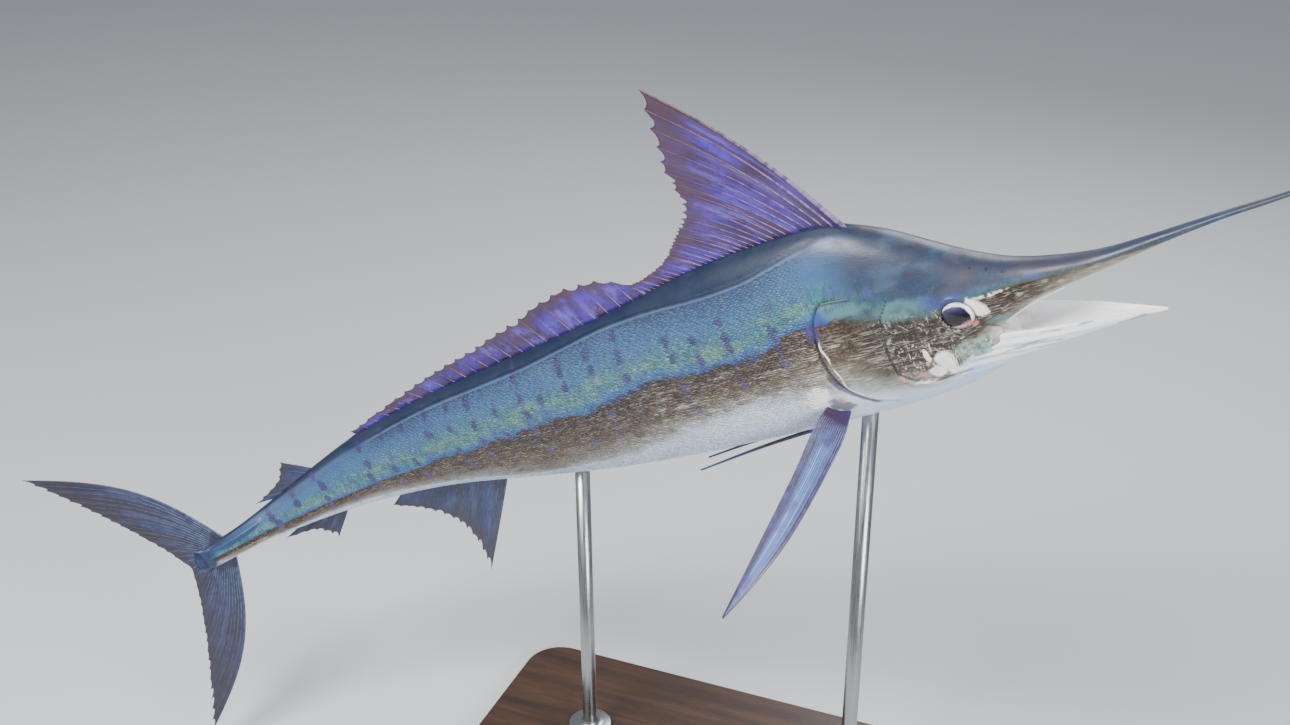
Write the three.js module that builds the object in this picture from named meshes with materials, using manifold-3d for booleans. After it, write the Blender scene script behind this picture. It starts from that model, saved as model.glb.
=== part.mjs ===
// Striped marlin, life size, lunging with its mouth open and its tail swept to its right, held by two rods on a base.
// The fish is shaped straight first (x runs from the tail fork to the bill, y to its left, z up its back),
// then bent along its spine, banked, tilted and set on its stand. Sizes are in millimetres.
import * as THREE from "three";
import { mergeVertices } from "three/addons/utils/BufferGeometryUtils.js";
import Module from "manifold-3d";

const wasm = await Module();
wasm.setup();

// Driving sizes
const FORK_X = -1000;
const JAW_TIP_X = 1036;
const BILL_TIP_X = 1440;
const HEAD_FROM_X = 515;
const JAW_FROM_X = 700;
const MOUTH_CORNER_X = 775;
const BILL_FROM_X = 900;
const CHEST_FROM_X = 150;
const TAIL_FROM_X = -350;
const GAP = 0.3;
const HALF_GAP = GAP / 2;
const ROOT_DEPTH = 14;

// Pose
const DEGREE = Math.PI / 180;
const BEND_FROM_X = 600;
const ARCH = { angle: 5 * DEGREE, from: 560, length: 600 };
const SWEEP = { angle: 38 * DEGREE, from: -300, length: 600 };
const NOSE_UP = 22 * DEGREE;
const BANK = 4 * DEGREE;

// Stand
const BASE_SIZE = { length: 900, width: 480, height: 36, corner: 80, bevel: 5 };
const BASE_UNDER_X = 176;
const ROD = { radius: 15, footRadius: 46, footHeight: 9, neck: 26, sides: 16 };
const ROD_AT_X = { front: 548, rear: -90 };
const FLOOR_CLEARANCE = 45;

// Outlines of the straight fish, each a short list of [x, size]
const BACK = [
  [-1000, 25], [-900, 31], [-760, 53], [-600, 82], [-400, 105], [-200, 122], [0, 138], [120, 152],
  [200, 165], [260, 176], [330, 185], [400, 191], [500, 196], [556, 189], [627, 162], [700, 119], [760, 85], [820, 61], [900, 46],
  [970, 42.5], [1050, 49], [1150, 59.5], [1250, 69], [1440, 92],
];
const BELLY = [
  [-1000, -25], [-900, -31], [-760, -51], [-600, -77], [-400, -108], [-240, -135], [-60, -162],
  [120, -177], [300, -179], [430, -175], [556, -166], [674, -146], [740, -131],
];
const HALF_WIDTH = [
  [-1000, 15], [-950, 19], [-880, 23], [-750, 33], [-600, 46], [-400, 61], [-200, 72], [0, 80],
  [200, 85], [400, 87], [515, 84], [600, 79], [700, 69], [775, 54], [840, 39], [900, 30.5],
  [960, 22], [1040, 14.5], [1130, 10.5], [1243, 7], [1440, 2],
];
const WIDEST_Z = [
  [-1000, 0], [-300, 0], [100, -8], [400, -6], [600, -10], [700, -8], [775, 8], [840, 17],
  [900, 22], [970, 27], [1050, 39], [1150, 54], [1243, 64.5], [1440, 90.5],
];
const UPPER_JAW = [
  [700, -82], [735, -64], [775, -45], [840, -19], [900, -3], [970, 11], [1050, 30], [1150, 49],
  [1243, 60], [1440, 89],
];
const JAW_RIM = [[700, -84], [735, -66], [775, -49], [830, -54], [900, -62], [965, -72], [1036, -82.5]];
const JAW_BELOW = [[700, -139], [750, -127], [824, -110], [894, -97], [961, -90], [1036, -85]];
const JAW_HALF_WIDTH = [[700, 60], [775, 53], [830, 48], [900, 36], [965, 20], [1010, 9], [1036, 2.5]];
const JAW_HOLLOW = [[700, 0], [770, 0], [810, 24], [870, 22], [930, 14], [990, 5], [1036, 0.5]];

// Smooth curve through a short list, with tangents from the neighbours
function through(list) {
  const last = list.length - 1;
  const slope = list.map((_, i) => {
    const a = list[Math.max(0, i - 1)];
    const b = list[Math.min(last, i + 1)];
    return (b[1] - a[1]) / (b[0] - a[0]);
  });
  return (x) => {
    let i = 0;
    while (i < last - 1 && x > list[i + 1][0]) i += 1;
    const [x0, y0] = list[i];
    const [x1, y1] = list[i + 1];
    const h = x1 - x0;
    const t = Math.min(1, Math.max(0, (x - x0) / h));
    const s = t * t * (3 - 2 * t);
    const outwards = t * (1 - t);
    return y0 + (y1 - y0) * s + h * outwards * ((1 - t) * slope[i] - t * slope[i + 1]);
  };
}

const back = through(BACK);
const belly = through(BELLY);
const halfWidth = through(HALF_WIDTH);
const widestZ = through(WIDEST_Z);
const upperJaw = through(UPPER_JAW);
const jawRim = through(JAW_RIM);
const jawBelow = through(JAW_BELOW);
const jawHalfWidth = through(JAW_HALF_WIDTH);
const jawHollow = through(JAW_HOLLOW);
const mix = (a, b, t) => a + (b - a) * t;
const ease = (t) => {
  const c = Math.min(1, Math.max(0, t));
  return c * c * (3 - 2 * c);
};

// Spine: the direction of the fish at each x, and where the middle of its section goes
function heading(x) {
  const sweep = SWEEP.angle * ease((SWEEP.from - x) / SWEEP.length);
  const arch = ARCH.angle * ease((ARCH.from - x) / ARCH.length);
  const forward = new THREE.Vector3(
    Math.cos(arch) * Math.cos(sweep),
    Math.cos(arch) * Math.sin(sweep),
    Math.sin(arch),
  );
  const left = new THREE.Vector3(-Math.sin(sweep), Math.cos(sweep), 0);
  return { forward, left, up: forward.clone().cross(left) };
}

const SPINE_STEP = 5;
const spine = [new THREE.Vector3(BEND_FROM_X, 0, 0)];
for (let x = BEND_FROM_X; x > FORK_X; x -= SPINE_STEP) {
  const { forward } = heading(x - SPINE_STEP / 2);
  spine.push(spine[spine.length - 1].clone().addScaledVector(forward, -SPINE_STEP));
}

function bend(p) {
  if (p.x >= BEND_FROM_X) return p.clone();
  const x = Math.max(p.x, FORK_X);
  const at = (BEND_FROM_X - x) / SPINE_STEP;
  const i = Math.min(Math.floor(at), spine.length - 2);
  const { forward, left, up } = heading(x);
  return spine[i].clone().lerp(spine[i + 1], at - i)
    .addScaledVector(forward, p.x - x)
    .addScaledVector(left, p.y)
    .addScaledVector(up, p.z);
}

// Sections of the body. Angle 0 is the back, a quarter turn is the right flank, a half turn is the belly.
const power = (value, exponent) => Math.sign(value) * Math.abs(value) ** exponent;

function sectionPoint(x, angle, below, grow, fullness) {
  const middle = widestZ(x);
  const side = Math.sin(angle);
  const rise = Math.cos(angle);
  const upper = rise > 0;
  const height = (upper ? back(x) - middle : middle - below(x)) + grow;
  const roundness = 2 / (upper ? fullness.above : fullness.below);
  return new THREE.Vector3(
    x,
    -(halfWidth(x) + grow) * power(side, roundness),
    middle + height * power(rise, roundness),
  );
}

const TRUNK_SHAPE = { above: 1.95, below: 2.1 };
const SNOUT_SHAPE = { above: 2.2, below: 2.9 };

function stations(from, to, count) {
  return Array.from({ length: count + 1 }, (_, i) => mix(from, to, i / count));
}

// Closed solid through rings of points, with a flat end at each side
function solidThrough(rings) {
  const n = rings[0].length;
  const points = rings.flat();
  const faces = [];
  for (let r = 0; r < rings.length - 1; r += 1) {
    for (let k = 0; k < n; k += 1) {
      const a = r * n + k;
      const b = r * n + ((k + 1) % n);
      faces.push(a, b, b + n, a, b + n, a + n);
    }
  }
  [0, rings.length - 1].forEach((r) => {
    const middle = points.length;
    const centre = new THREE.Vector3();
    rings[r].forEach((p) => centre.addScaledVector(p, 1 / n));
    points.push(centre);
    for (let k = 0; k < n; k += 1) {
      const a = r * n + k;
      const b = r * n + ((k + 1) % n);
      faces.push(...(r === 0 ? [middle, b, a] : [middle, a, b]));
    }
  });
  return solidOfFaces(points, faces);
}

function solidOfFaces(points, faces) {
  const geometry = new THREE.BufferGeometry().setFromPoints(points);
  geometry.setIndex(faces);
  return solidOf(geometry);
}

function solidOf(geometry) {
  const bare = geometry.clone();
  ["normal", "uv"].forEach((name) => bare.deleteAttribute(name));
  const merged = mergeVertices(bare, 1e-3);
  const make = (triVerts) => new wasm.Manifold(new wasm.Mesh({
    numProp: 3,
    vertProperties: new Float32Array(merged.attributes.position.array),
    triVerts,
  }));
  const triVerts = new Uint32Array(merged.index.array);
  const solid = make(triVerts);
  if (solid.volume() >= 0) return solid;
  return make(triVerts.slice().reverse());
}

function geometryOf(solid) {
  const { numProp, numVert, vertProperties, triVerts } = solid.getMesh();
  const points = [];
  for (let i = 0; i < numVert; i += 1) {
    points.push(new THREE.Vector3().fromArray(vertProperties, i * numProp));
  }
  const geometry = new THREE.BufferGeometry().setFromPoints(points);
  geometry.setIndex([...triVerts]);
  geometry.computeVertexNormals();
  return geometry;
}

const largest = (solid) => solid.decompose().sort((a, b) => b.volume() - a.volume())[0];
const joined = (solids) => solids.reduce((a, b) => a.add(b));

// Lengths of the body
const RING_SIDES = 32;

function bodyLength(from, to, count, { below = belly, grow = 0, shape = TRUNK_SHAPE } = {}) {
  const rings = stations(from, to, count).map((x) =>
    Array.from({ length: RING_SIDES }, (_, k) =>
      bend(sectionPoint(x, (k / RING_SIDES) * 2 * Math.PI, below, grow, shape)),
    ),
  );
  return solidThrough(rings);
}

function skullRings(grow) {
  const shapeAt = (x) => {
    const t = ease((x - HEAD_FROM_X) / (JAW_FROM_X - HEAD_FROM_X));
    return {
      above: mix(TRUNK_SHAPE.above, SNOUT_SHAPE.above, t),
      below: mix(TRUNK_SHAPE.below, SNOUT_SHAPE.below, t),
    };
  };
  const length = (from, to, count, below) =>
    solidThrough(
      stations(from, to, count).map((x) =>
        Array.from({ length: RING_SIDES }, (_, k) =>
          bend(sectionPoint(x, (k / RING_SIDES) * 2 * Math.PI, below, grow, shapeAt(x))),
        ),
      ),
    );
  const behind = length(HEAD_FROM_X + HALF_GAP - grow, JAW_FROM_X - GAP + grow, 8, belly);
  const snout = length(JAW_FROM_X - ROOT_DEPTH, BILL_FROM_X - HALF_GAP + grow, 9, upperJaw);
  return behind.add(snout);
}

const chest = bodyLength(CHEST_FROM_X + HALF_GAP, HEAD_FROM_X - HALF_GAP, 8);
const flank = bodyLength(TAIL_FROM_X + HALF_GAP, CHEST_FROM_X - HALF_GAP, 9);
const tailStockBare = bodyLength(FORK_X, TAIL_FROM_X - HALF_GAP, 11);
const clearSkull = skullRings(GAP);
const clearBody = joined([
  bodyLength(CHEST_FROM_X - GAP, HEAD_FROM_X + GAP, 8, { grow: GAP }),
  bodyLength(TAIL_FROM_X - GAP, CHEST_FROM_X + GAP, 9, { grow: GAP }),
  bodyLength(FORK_X - GAP, TAIL_FROM_X + GAP, 11, { grow: GAP }),
  clearSkull,
]);

// Caudal keels, two a side, fused to the tail stock
const KEEL = { from: -984, to: -872, count: 6, z: 15, spread: 5, reach: 15, root: 9, half: 4.2 };

function keel(side, level) {
  const rings = stations(KEEL.from, KEEL.to, KEEL.count).map((x, i) => {
    const t = i / KEEL.count;
    const swell = Math.sin(Math.PI * mix(0.08, 0.94, t)) ** 0.7;
    const inner = halfWidth(x) - KEEL.root;
    const outer = halfWidth(x) - 2 + KEEL.reach * swell;
    const z = level * (KEEL.z + KEEL.spread * t);
    return [[inner, KEEL.half], [mix(inner, outer, 0.6), KEEL.half * 0.7], [outer, 0.6],
      [outer, -0.6], [mix(inner, outer, 0.6), -KEEL.half * 0.7], [inner, -KEEL.half]]
      .map(([y, dz]) => bend(new THREE.Vector3(x, side * y, z + dz * swell)));
  });
  return solidThrough(rings);
}

function tailStock() {
  const keels = [];
  [-1, 1].forEach((side) => [-1, 1].forEach((level) => keels.push(keel(side, level))));
  return joined([tailStockBare, ...keels]);
}

// Eyes, sockets, the skin's rim round each, and the nostrils
const EYE = { x: 727, z: 8, radius: 25.5, bulge: 16, out: 8, rim: 4.2, rimRadius: 29.5 };
const NOSTRIL = { x: 775, z: 27, radius: 3.6, apart: 10 };

function onFlank(x, z, side) {
  const middle = widestZ(x);
  const share = Math.min(0.999, Math.abs(z - middle) / (back(x) - middle));
  const y = halfWidth(x) * (1 - share ** SNOUT_SHAPE.above) ** (1 / SNOUT_SHAPE.above);
  return new THREE.Vector3(x, side * y, z);
}

function flankTurn(x, z, side) {
  const step = 6;
  const along = onFlank(x + step, z, side).sub(onFlank(x - step, z, side));
  const upwards = onFlank(x, z + step, side).sub(onFlank(x, z - step, side));
  const out = along.cross(upwards).normalize();
  if (out.y * side < 0) out.negate();
  return new THREE.Quaternion().setFromUnitVectors(new THREE.Vector3(0, 0, 1), out);
}

function eyeball(side, grow) {
  const at = onFlank(EYE.x, EYE.z, side);
  const turn = flankTurn(EYE.x, EYE.z, side);
  const geometry = new THREE.SphereGeometry(1, 18, 8);
  geometry.scale(EYE.radius + grow, EYE.radius + grow, EYE.bulge + grow);
  geometry.translate(0, 0, EYE.out - EYE.bulge);
  geometry.applyQuaternion(turn);
  geometry.translate(at.x, at.y, at.z);
  return solidOf(geometry);
}

function eyeRim(side) {
  const at = onFlank(EYE.x, EYE.z, side);
  const geometry = new THREE.TorusGeometry(EYE.rimRadius, EYE.rim, 5, 18);
  geometry.scale(1.06, 1, 0.8);
  geometry.applyQuaternion(flankTurn(EYE.x, EYE.z, side));
  geometry.translate(at.x, at.y, at.z);
  return solidOf(geometry);
}

function nostril(side, i) {
  const x = NOSTRIL.x + i * NOSTRIL.apart;
  const at = onFlank(x, NOSTRIL.z, side);
  const geometry = new THREE.SphereGeometry(NOSTRIL.radius, 8, 6);
  geometry.translate(at.x, at.y, at.z);
  return solidOf(geometry);
}

// Upper lip: a ridge along the edge of the upper jaw, from behind the corner of the mouth on to the bill
const LIP = { from: 702, to: 892, count: 9, half: 4.6, proud: 3.4, sunk: 7, above: 4.5 };

function lip(side, grow) {
  const rings = stations(LIP.from, LIP.to, LIP.count).map((x, i) => {
    const size = mix(0.45, 1, Math.sin(Math.PI * mix(0.12, 0.9, i / LIP.count)) ** 0.6);
    const z = upperJaw(x) + LIP.above;
    const drop = Math.min(0.999, (widestZ(x) - z) / (widestZ(x) - upperJaw(x)));
    const y = halfWidth(x) * (1 - drop ** SNOUT_SHAPE.below) ** (1 / SNOUT_SHAPE.below);
    const [out, half] = [LIP.proud * size + grow, LIP.half * size + grow];
    return [[-LIP.sunk, half], [out * 0.7, half * 0.8], [out, 0], [out * 0.6, -half * 0.8], [-LIP.sunk, -half * 0.6]]
      .map(([dy, dz]) => bend(new THREE.Vector3(x, side * (y + dy), z + dz)));
  });
  return solidThrough(rings);
}

function head() {
  let solid = skullRings(0);
  [-1, 1].forEach((side) => {
    solid = solid.add(eyeRim(side)).add(lip(side, 0)).subtract(eyeball(side, GAP));
    [0, 1].forEach((i) => {
      solid = solid.subtract(nostril(side, i));
    });
  });
  return largest(solid);
}

// Bill: the upper jaw drawn out to a spear
function bill() {
  const sides = 16;
  const count = 13;
  const shape = { above: 2.1, below: 2.5 };
  const rings = stations(0, 1, count).map((t) => {
    const x = mix(BILL_FROM_X + HALF_GAP, BILL_TIP_X, t);
    return Array.from({ length: sides }, (_, k) =>
      sectionPoint(x, (k / sides) * 2 * Math.PI, upperJaw, 0, shape),
    );
  });
  return solidThrough(rings);
}

// Lower jaw: a trough, open on top ahead of the corner of the mouth
const JAW = { outer: 14, inner: 8, wall: 0.16, roundness: 0.86, roll: 0.15 };

function jawRing(x) {
  const rim = jawRim(x);
  const width = jawHalfWidth(x);
  const depth = rim - jawBelow(x);
  const inside = width * (1 - JAW.wall);
  const outer = Array.from({ length: JAW.outer + 1 }, (_, k) => {
    const a = (k / JAW.outer) * Math.PI;
    return new THREE.Vector3(
      x, -width * power(Math.cos(a), JAW.roundness), rim - depth * Math.sin(a) ** JAW.roundness);
  });
  const inner = Array.from({ length: JAW.inner + 1 }, (_, k) => {
    const a = Math.PI - (k / JAW.inner) * Math.PI;
    return new THREE.Vector3(x, -inside * Math.cos(a), rim - jawHollow(x) * Math.sin(a));
  });
  const open = ease((x - JAW_FROM_X) / (MOUTH_CORNER_X - JAW_FROM_X));
  const ring = [...outer, ...inner];
  ring.forEach((p) => {
    p.z += JAW.roll * open * (p.y + width);
  });
  return ring;
}

function lowerJaw() {
  const trough = solidThrough(stations(JAW_FROM_X, JAW_TIP_X, 16).map(jawRing));
  return largest(trough.subtract(clearSkull).subtract(lip(-1, GAP)).subtract(lip(1, GAP)));
}

// Gill covers: a plate over each cheek, from the cheek's own edge back to the gill slit
const DEG = (list) => list.map(([v, x, angle]) => [v, x, angle * DEGREE]);
const GILL_REAR = DEG([
  [0, 508, 62], [0.1, 489, 71], [0.25, 482, 84], [0.4, 484, 98], [0.55, 500, 114], [0.7, 532, 129],
  [0.85, 585, 143], [1, 655, 152],
]);
const GILL_FRONT = DEG([
  [0, 622, 62], [0.1, 612, 68], [0.25, 603, 80], [0.4, 600, 94], [0.55, 604, 108], [0.7, 620, 121],
  [0.85, 652, 132], [1, 690, 139],
]);
const GILL = { across: 5, along: 16, rear: 5.5, front: 2.2, sunk: 5 };

function edgeOf(list) {
  const x = through(list.map((p) => [p[0], p[1]]));
  const angle = through(list.map((p) => [p[0], p[2]]));
  return (v) => [x(v), angle(v)];
}

function skin(x, angle, side, lift) {
  const at = (dx, da) => {
    const p = sectionPoint(x + dx, angle + da, belly, 0, TRUNK_SHAPE);
    p.y *= -side;
    return p;
  };
  const out = at(4, 0).sub(at(-4, 0)).cross(at(0, 0.03).sub(at(0, -0.03))).normalize();
  if (out.y * side < 0) out.negate();
  return bend(at(0, 0).addScaledVector(out, lift));
}

function gillCover(side) {
  const rear = edgeOf(GILL_REAR);
  const front = edgeOf(GILL_FRONT);
  const rows = stations(0, 1, GILL.along).map((v) => stations(0, 1, GILL.across).map((u) => {
    const [xr, ar] = rear(v);
    const [xf, af] = front(v);
    const swell = mix(GILL.rear, GILL.front, u ** 1.5);
    const [x, a] = [mix(xr, xf, u), mix(ar, af, u)];
    return [skin(x, a, side, swell), skin(x, a, side, -GILL.sunk)];
  }));
  return largest(sheetSolid(rows).subtract(clearBody));
}

// Sheets: rows of paired points, one for each face, split into triangles alike on both faces
function sheetSolid(rows) {
  const [m, n] = [rows.length, rows[0].length];
  const points = rows.flat(2);
  const id = (i, j, face) => 2 * (i * n + j) + face;
  const faces = [];
  const quad = (a, b, c, d) => faces.push(a, b, c, a, c, d);
  for (let i = 0; i < m - 1; i += 1) {
    for (let j = 0; j < n - 1; j += 1) {
      faces.push(id(i, j, 0), id(i + 1, j, 0), id(i + 1, j + 1, 0));
      faces.push(id(i, j, 0), id(i + 1, j + 1, 0), id(i, j + 1, 0));
      faces.push(id(i, j, 1), id(i + 1, j + 1, 1), id(i + 1, j, 1));
      faces.push(id(i, j, 1), id(i, j + 1, 1), id(i + 1, j + 1, 1));
    }
  }
  for (let i = 0; i < m - 1; i += 1) {
    quad(id(i, 0, 1), id(i + 1, 0, 1), id(i + 1, 0, 0), id(i, 0, 0));
    quad(id(i, n - 1, 0), id(i + 1, n - 1, 0), id(i + 1, n - 1, 1), id(i, n - 1, 1));
  }
  for (let j = 0; j < n - 1; j += 1) {
    quad(id(0, j, 0), id(0, j + 1, 0), id(0, j + 1, 1), id(0, j, 1));
    quad(id(m - 1, j, 1), id(m - 1, j + 1, 1), id(m - 1, j + 1, 0), id(m - 1, j, 0));
  }
  return solidOfFaces(points, faces);
}

// Fins: each ray is a ridge in the membrane's own surface, and stands a little past its margin
const MEMBRANE = 0.7;
const RAY_SHARE = 0.22;

function finSolid({ rays, rootAt, tipAt, across, rayHalf, rootHalf, notch, bow = 0, rows = 7, ends = [0, 1] }) {
  const columns = [];
  const column = (u, onRay) => {
    const root = rootAt(u);
    const tip = tipAt(u);
    const reach = onRay ? 1 : 1 - notch;
    columns.push(stations(0, 1, rows - 1).map((t, j) => {
      const way = t * reach;
      const bowed = Math.sin(Math.PI * way) * bow * (1 - u) * root.distanceTo(tip);
      const p = root.clone().lerp(tip, way);
      const chord = tip.clone().sub(root).cross(across(u, way)).normalize();
      p.addScaledVector(chord, bowed);
      const ridge = onRay ? mix(rayHalf, MEMBRANE, way ** 1.2) : MEMBRANE;
      const thick = j === 0 ? Math.max(ridge, rootHalf) : mix(Math.max(ridge, rootHalf), ridge, Math.min(1, way * 5));
      const half = across(u, way).clone().multiplyScalar(t === 1 ? MEMBRANE * 0.7 : thick);
      return [p.clone().add(half), p.clone().sub(half)];
    }));
  };
  for (let i = 0; i < rays; i += 1) {
    const u = mix(ends[0], ends[1], i / (rays - 1));
    const step = (ends[1] - ends[0]) / (rays - 1);
    if (i > 0) column(u - step * RAY_SHARE, false);
    column(u, true);
    if (i < rays - 1) column(u + step * RAY_SHARE, false);
  }
  return columns;
}

const bentSheet = (columns) => sheetSolid(columns.map((c) => c.map((pair) => pair.map(bend))));
const rooted = (columns) => largest(bentSheet(columns).subtract(clearBody));
const LEFT = new THREE.Vector3(0, 1, 0);
const median = (x, z) => new THREE.Vector3(x, 0, z);

function marginOf(list) {
  const x = through(list.map((p) => [p[0], p[1]]));
  const z = through(list.map((p) => [p[0], p[2]]));
  return (u) => median(x(u), z(u));
}

// First dorsal fin: a tall pointed lobe, then a long low length
const DORSAL_LOBE = { rootFrom: 574, rootTo: 182, rays: 14 };
const LOBE_MARGIN = [
  [0, 322, 514], [0.06, 313, 446], [0.12, 304, 388], [0.19, 305, 342], [0.27, 311, 304],
  [0.35, 294, 272], [0.5, 268, 242], [0.67, 238, 213], [0.8, 205, 196], [0.9, 173, 186], [1, 148, 184],
];
const DORSAL_LENGTH = { rootFrom: 176, rootTo: -585, rays: 20 };
const LENGTH_MARGIN = [
  [0, 148, 184], [0.06, 101, 209], [0.17, 10, 218], [0.31, -100, 195], [0.46, -216, 170],
  [0.66, -368, 143], [0.85, -510, 112], [1, -602, 92],
];

function onBack(from, to, power_ = 1) {
  return (u) => {
    const x = mix(from, to, u ** power_);
    return median(x, back(x) - ROOT_DEPTH);
  };
}

function dorsalLobe() {
  return rooted(finSolid({
    rays: DORSAL_LOBE.rays, rootAt: onBack(DORSAL_LOBE.rootFrom, DORSAL_LOBE.rootTo, 0.92),
    tipAt: marginOf(LOBE_MARGIN), across: () => LEFT, rayHalf: 2.6, rootHalf: 4.5, notch: 0.035, bow: -0.034, rows: 7,
  }));
}

function dorsalLength() {
  return rooted(finSolid({
    rays: DORSAL_LENGTH.rays, rootAt: onBack(DORSAL_LENGTH.rootFrom, DORSAL_LENGTH.rootTo),
    tipAt: marginOf(LENGTH_MARGIN), across: () => LEFT, rayHalf: 2.2, rootHalf: 3.5, notch: 0.07, rows: 4,
  }));
}

// The small second dorsal fin, and the two anal fins
const SECOND_DORSAL = { from: -708, to: -792, rays: 5, margin: [[0, -768, 104], [0.5, -800, 68], [1, -858, 52]] };
const FIRST_ANAL = {
  from: -318, to: -560, rays: 10,
  margin: [[0, -492, -318], [0.25, -484, -236], [0.5, -506, -176], [0.75, -560, -128], [1, -612, -98]],
};
const SECOND_ANAL = { from: -690, to: -776, rays: 5, margin: [[0, -752, -106], [0.5, -784, -68], [1, -846, -50]] };

function smallFin({ from, to, rays, margin }, edge, up, sizes) {
  const rootAt = (u) => {
    const x = mix(from, to, u);
    return median(x, edge(x) - up * ROOT_DEPTH);
  };
  return rooted(finSolid({ rays, rootAt, tipAt: marginOf(margin), across: () => LEFT, ...sizes }));
}

const secondDorsal = () =>
  smallFin(SECOND_DORSAL, back, 1, { rayHalf: 1.8, rootHalf: 3, notch: 0.08, rows: 5 });
const firstAnal = () =>
  smallFin(FIRST_ANAL, belly, -1, { rayHalf: 2.4, rootHalf: 4, notch: 0.05, rows: 6 });
const secondAnal = () =>
  smallFin(SECOND_ANAL, belly, -1, { rayHalf: 1.8, rootHalf: 3, notch: 0.08, rows: 5 });

// Tail fin: two long lobes round the end of the tail stock
const CAUDAL = {
  rays: 10, rootFrom: -952, rootMid: -985, split: 0.6,
  tip: [-1212, 345], waist: [-1096, 130], notch: [-1044, 3],
};

function caudalLobe(up) {
  const rootAt = (u) => {
    const x = mix(CAUDAL.rootFrom, CAUDAL.rootMid, Math.min(1, u * 1.6));
    const z = mix(back(x) - 9, CAUDAL.split, ease(u));
    return median(x, up * z);
  };
  const margin = marginOf([
    [0, CAUDAL.tip[0], up * CAUDAL.tip[1]],
    [0.3, -1150, up * 236],
    [0.62, CAUDAL.waist[0], up * CAUDAL.waist[1]],
    [0.85, -1062, up * 52],
    [1, CAUDAL.notch[0], up * CAUDAL.notch[1]],
  ]);
  return rooted(finSolid({
    rays: CAUDAL.rays, rootAt, tipAt: margin, across: () => LEFT, rayHalf: 3.2, rootHalf: 7,
    notch: 0.02, bow: -0.1 * up, rows: 8,
  }));
}

// Pectoral fins: long, pointed and spread down and back from behind the gill slit
const PECTORAL = {
  x: 474, z: -112, length: 442, rays: 8, spread: 0.593, back: 0.575, down: 0.566,
  chord: [[0, 40], [0.12, 54], [0.3, 52], [0.6, 44], [0.82, 25], [1, 3]],
};

function pectoral(side) {
  const along = new THREE.Vector3(-PECTORAL.back, side * PECTORAL.spread, -PECTORAL.down).normalize();
  const ahead = new THREE.Vector3(0.66, -side * 0.077, -0.75).normalize();
  const out = along.clone().cross(ahead).normalize();
  const root = new THREE.Vector3(PECTORAL.x, side * (halfWidth(PECTORAL.x) * 0.86 - ROOT_DEPTH), PECTORAL.z);
  const chord = through(PECTORAL.chord);
  const place = (u, way) => {
    const width = chord(way);
    const sag = 16 * Math.sin(Math.PI * way * 0.9) - 22 * way * way;
    return root.clone().addScaledVector(along, PECTORAL.length * way)
      .addScaledVector(ahead, (0.5 - u) * width + sag)
      .addScaledVector(out, -10 * Math.sin(Math.PI * way) + 3 * (u - 0.5) ** 2 * 4);
  };
  const rows = 9;
  const columns = [];
  const column = (u, onRay) => {
    columns.push(stations(0, 1, rows - 1).map((t) => {
      const ridge = onRay ? mix(2.6, MEMBRANE, t) : mix(1.6, MEMBRANE, t);
      const half = out.clone().multiplyScalar(mix(Math.max(ridge, 6), ridge, Math.min(1, t * 5)));
      const p = place(u, t * (onRay ? 1 : 0.985));
      return [p.clone().add(half), p.clone().sub(half)].map(bend);
    }));
  };
  for (let i = 0; i < PECTORAL.rays; i += 1) {
    const u = i / (PECTORAL.rays - 1);
    const step = RAY_SHARE / (PECTORAL.rays - 1);
    if (i > 0) column(u - step, false);
    column(u, true);
    if (i < PECTORAL.rays - 1) column(u + step, false);
  }
  return largest(sheetSolid(columns).subtract(clearBody));
}

// Pelvic fins: two slender fins folded back along the belly
const PELVIC = { x: 446, y: 13, length: 330, half: 5.5, thick: 2.4, droop: 26 };

function pelvic(side) {
  const rings = stations(0, 1, 12).map((t) => {
    const x = PELVIC.x - PELVIC.length * t;
    const z = belly(x) + 3 - (PELVIC.droop + 6) * t ** 1.6;
    const y = side * (PELVIC.y + 10 * t);
    const wide = mix(PELVIC.half, 1.2, t ** 1.3);
    const thick = mix(PELVIC.thick, 0.9, t);
    return [[-wide, 0], [0, -thick * 2], [wide, 0], [0, thick * 2]].map(([dy, dz]) =>
      bend(new THREE.Vector3(x, y + dy, z + dz - thick)));
  });
  return largest(solidThrough(rings).subtract(clearBody));
}

// The fish stands over its base, banked and nose up, with its lowest fin just clear of the floor
const fishNodes = [
  ["head", head(), 0x5d6b7c], ["bill", bill(), 0x4e5460], ["lower_jaw", lowerJaw(), 0xdcdcdc],
  ["eye_right", eyeball(-1, 0), 0x1c2540], ["eye_left", eyeball(1, 0), 0x1c2540],
  ["gill_cover_right", gillCover(-1), 0x6d5f52], ["gill_cover_left", gillCover(1), 0x6d5f52],
  ["chest", chest, 0x6e8896], ["flank", flank, 0x6e8896], ["tail_stock", tailStock(), 0x5d7580],
  ["dorsal_fin_lobe", dorsalLobe(), 0x5a3f9a], ["dorsal_fin_length", dorsalLength(), 0x64459e],
  ["second_dorsal_fin", secondDorsal(), 0x4f4a72],
  ["first_anal_fin", firstAnal(), 0x585a7c], ["second_anal_fin", secondAnal(), 0x4f4a72],
  ["tail_fin_upper_lobe", caudalLobe(1), 0x4a4668], ["tail_fin_lower_lobe", caudalLobe(-1), 0x4a4668],
  ["pectoral_fin_right", pectoral(-1), 0x7f8bb8], ["pectoral_fin_left", pectoral(1), 0x7f8bb8],
  ["pelvic_fin_right", pelvic(-1), 0x4f4a72], ["pelvic_fin_left", pelvic(1), 0x4f4a72],
].map(([name, solid, colour]) => ({ name, geometry: geometryOf(solid), colour, roughness: 0.35, metalness: 0.15 }));

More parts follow.
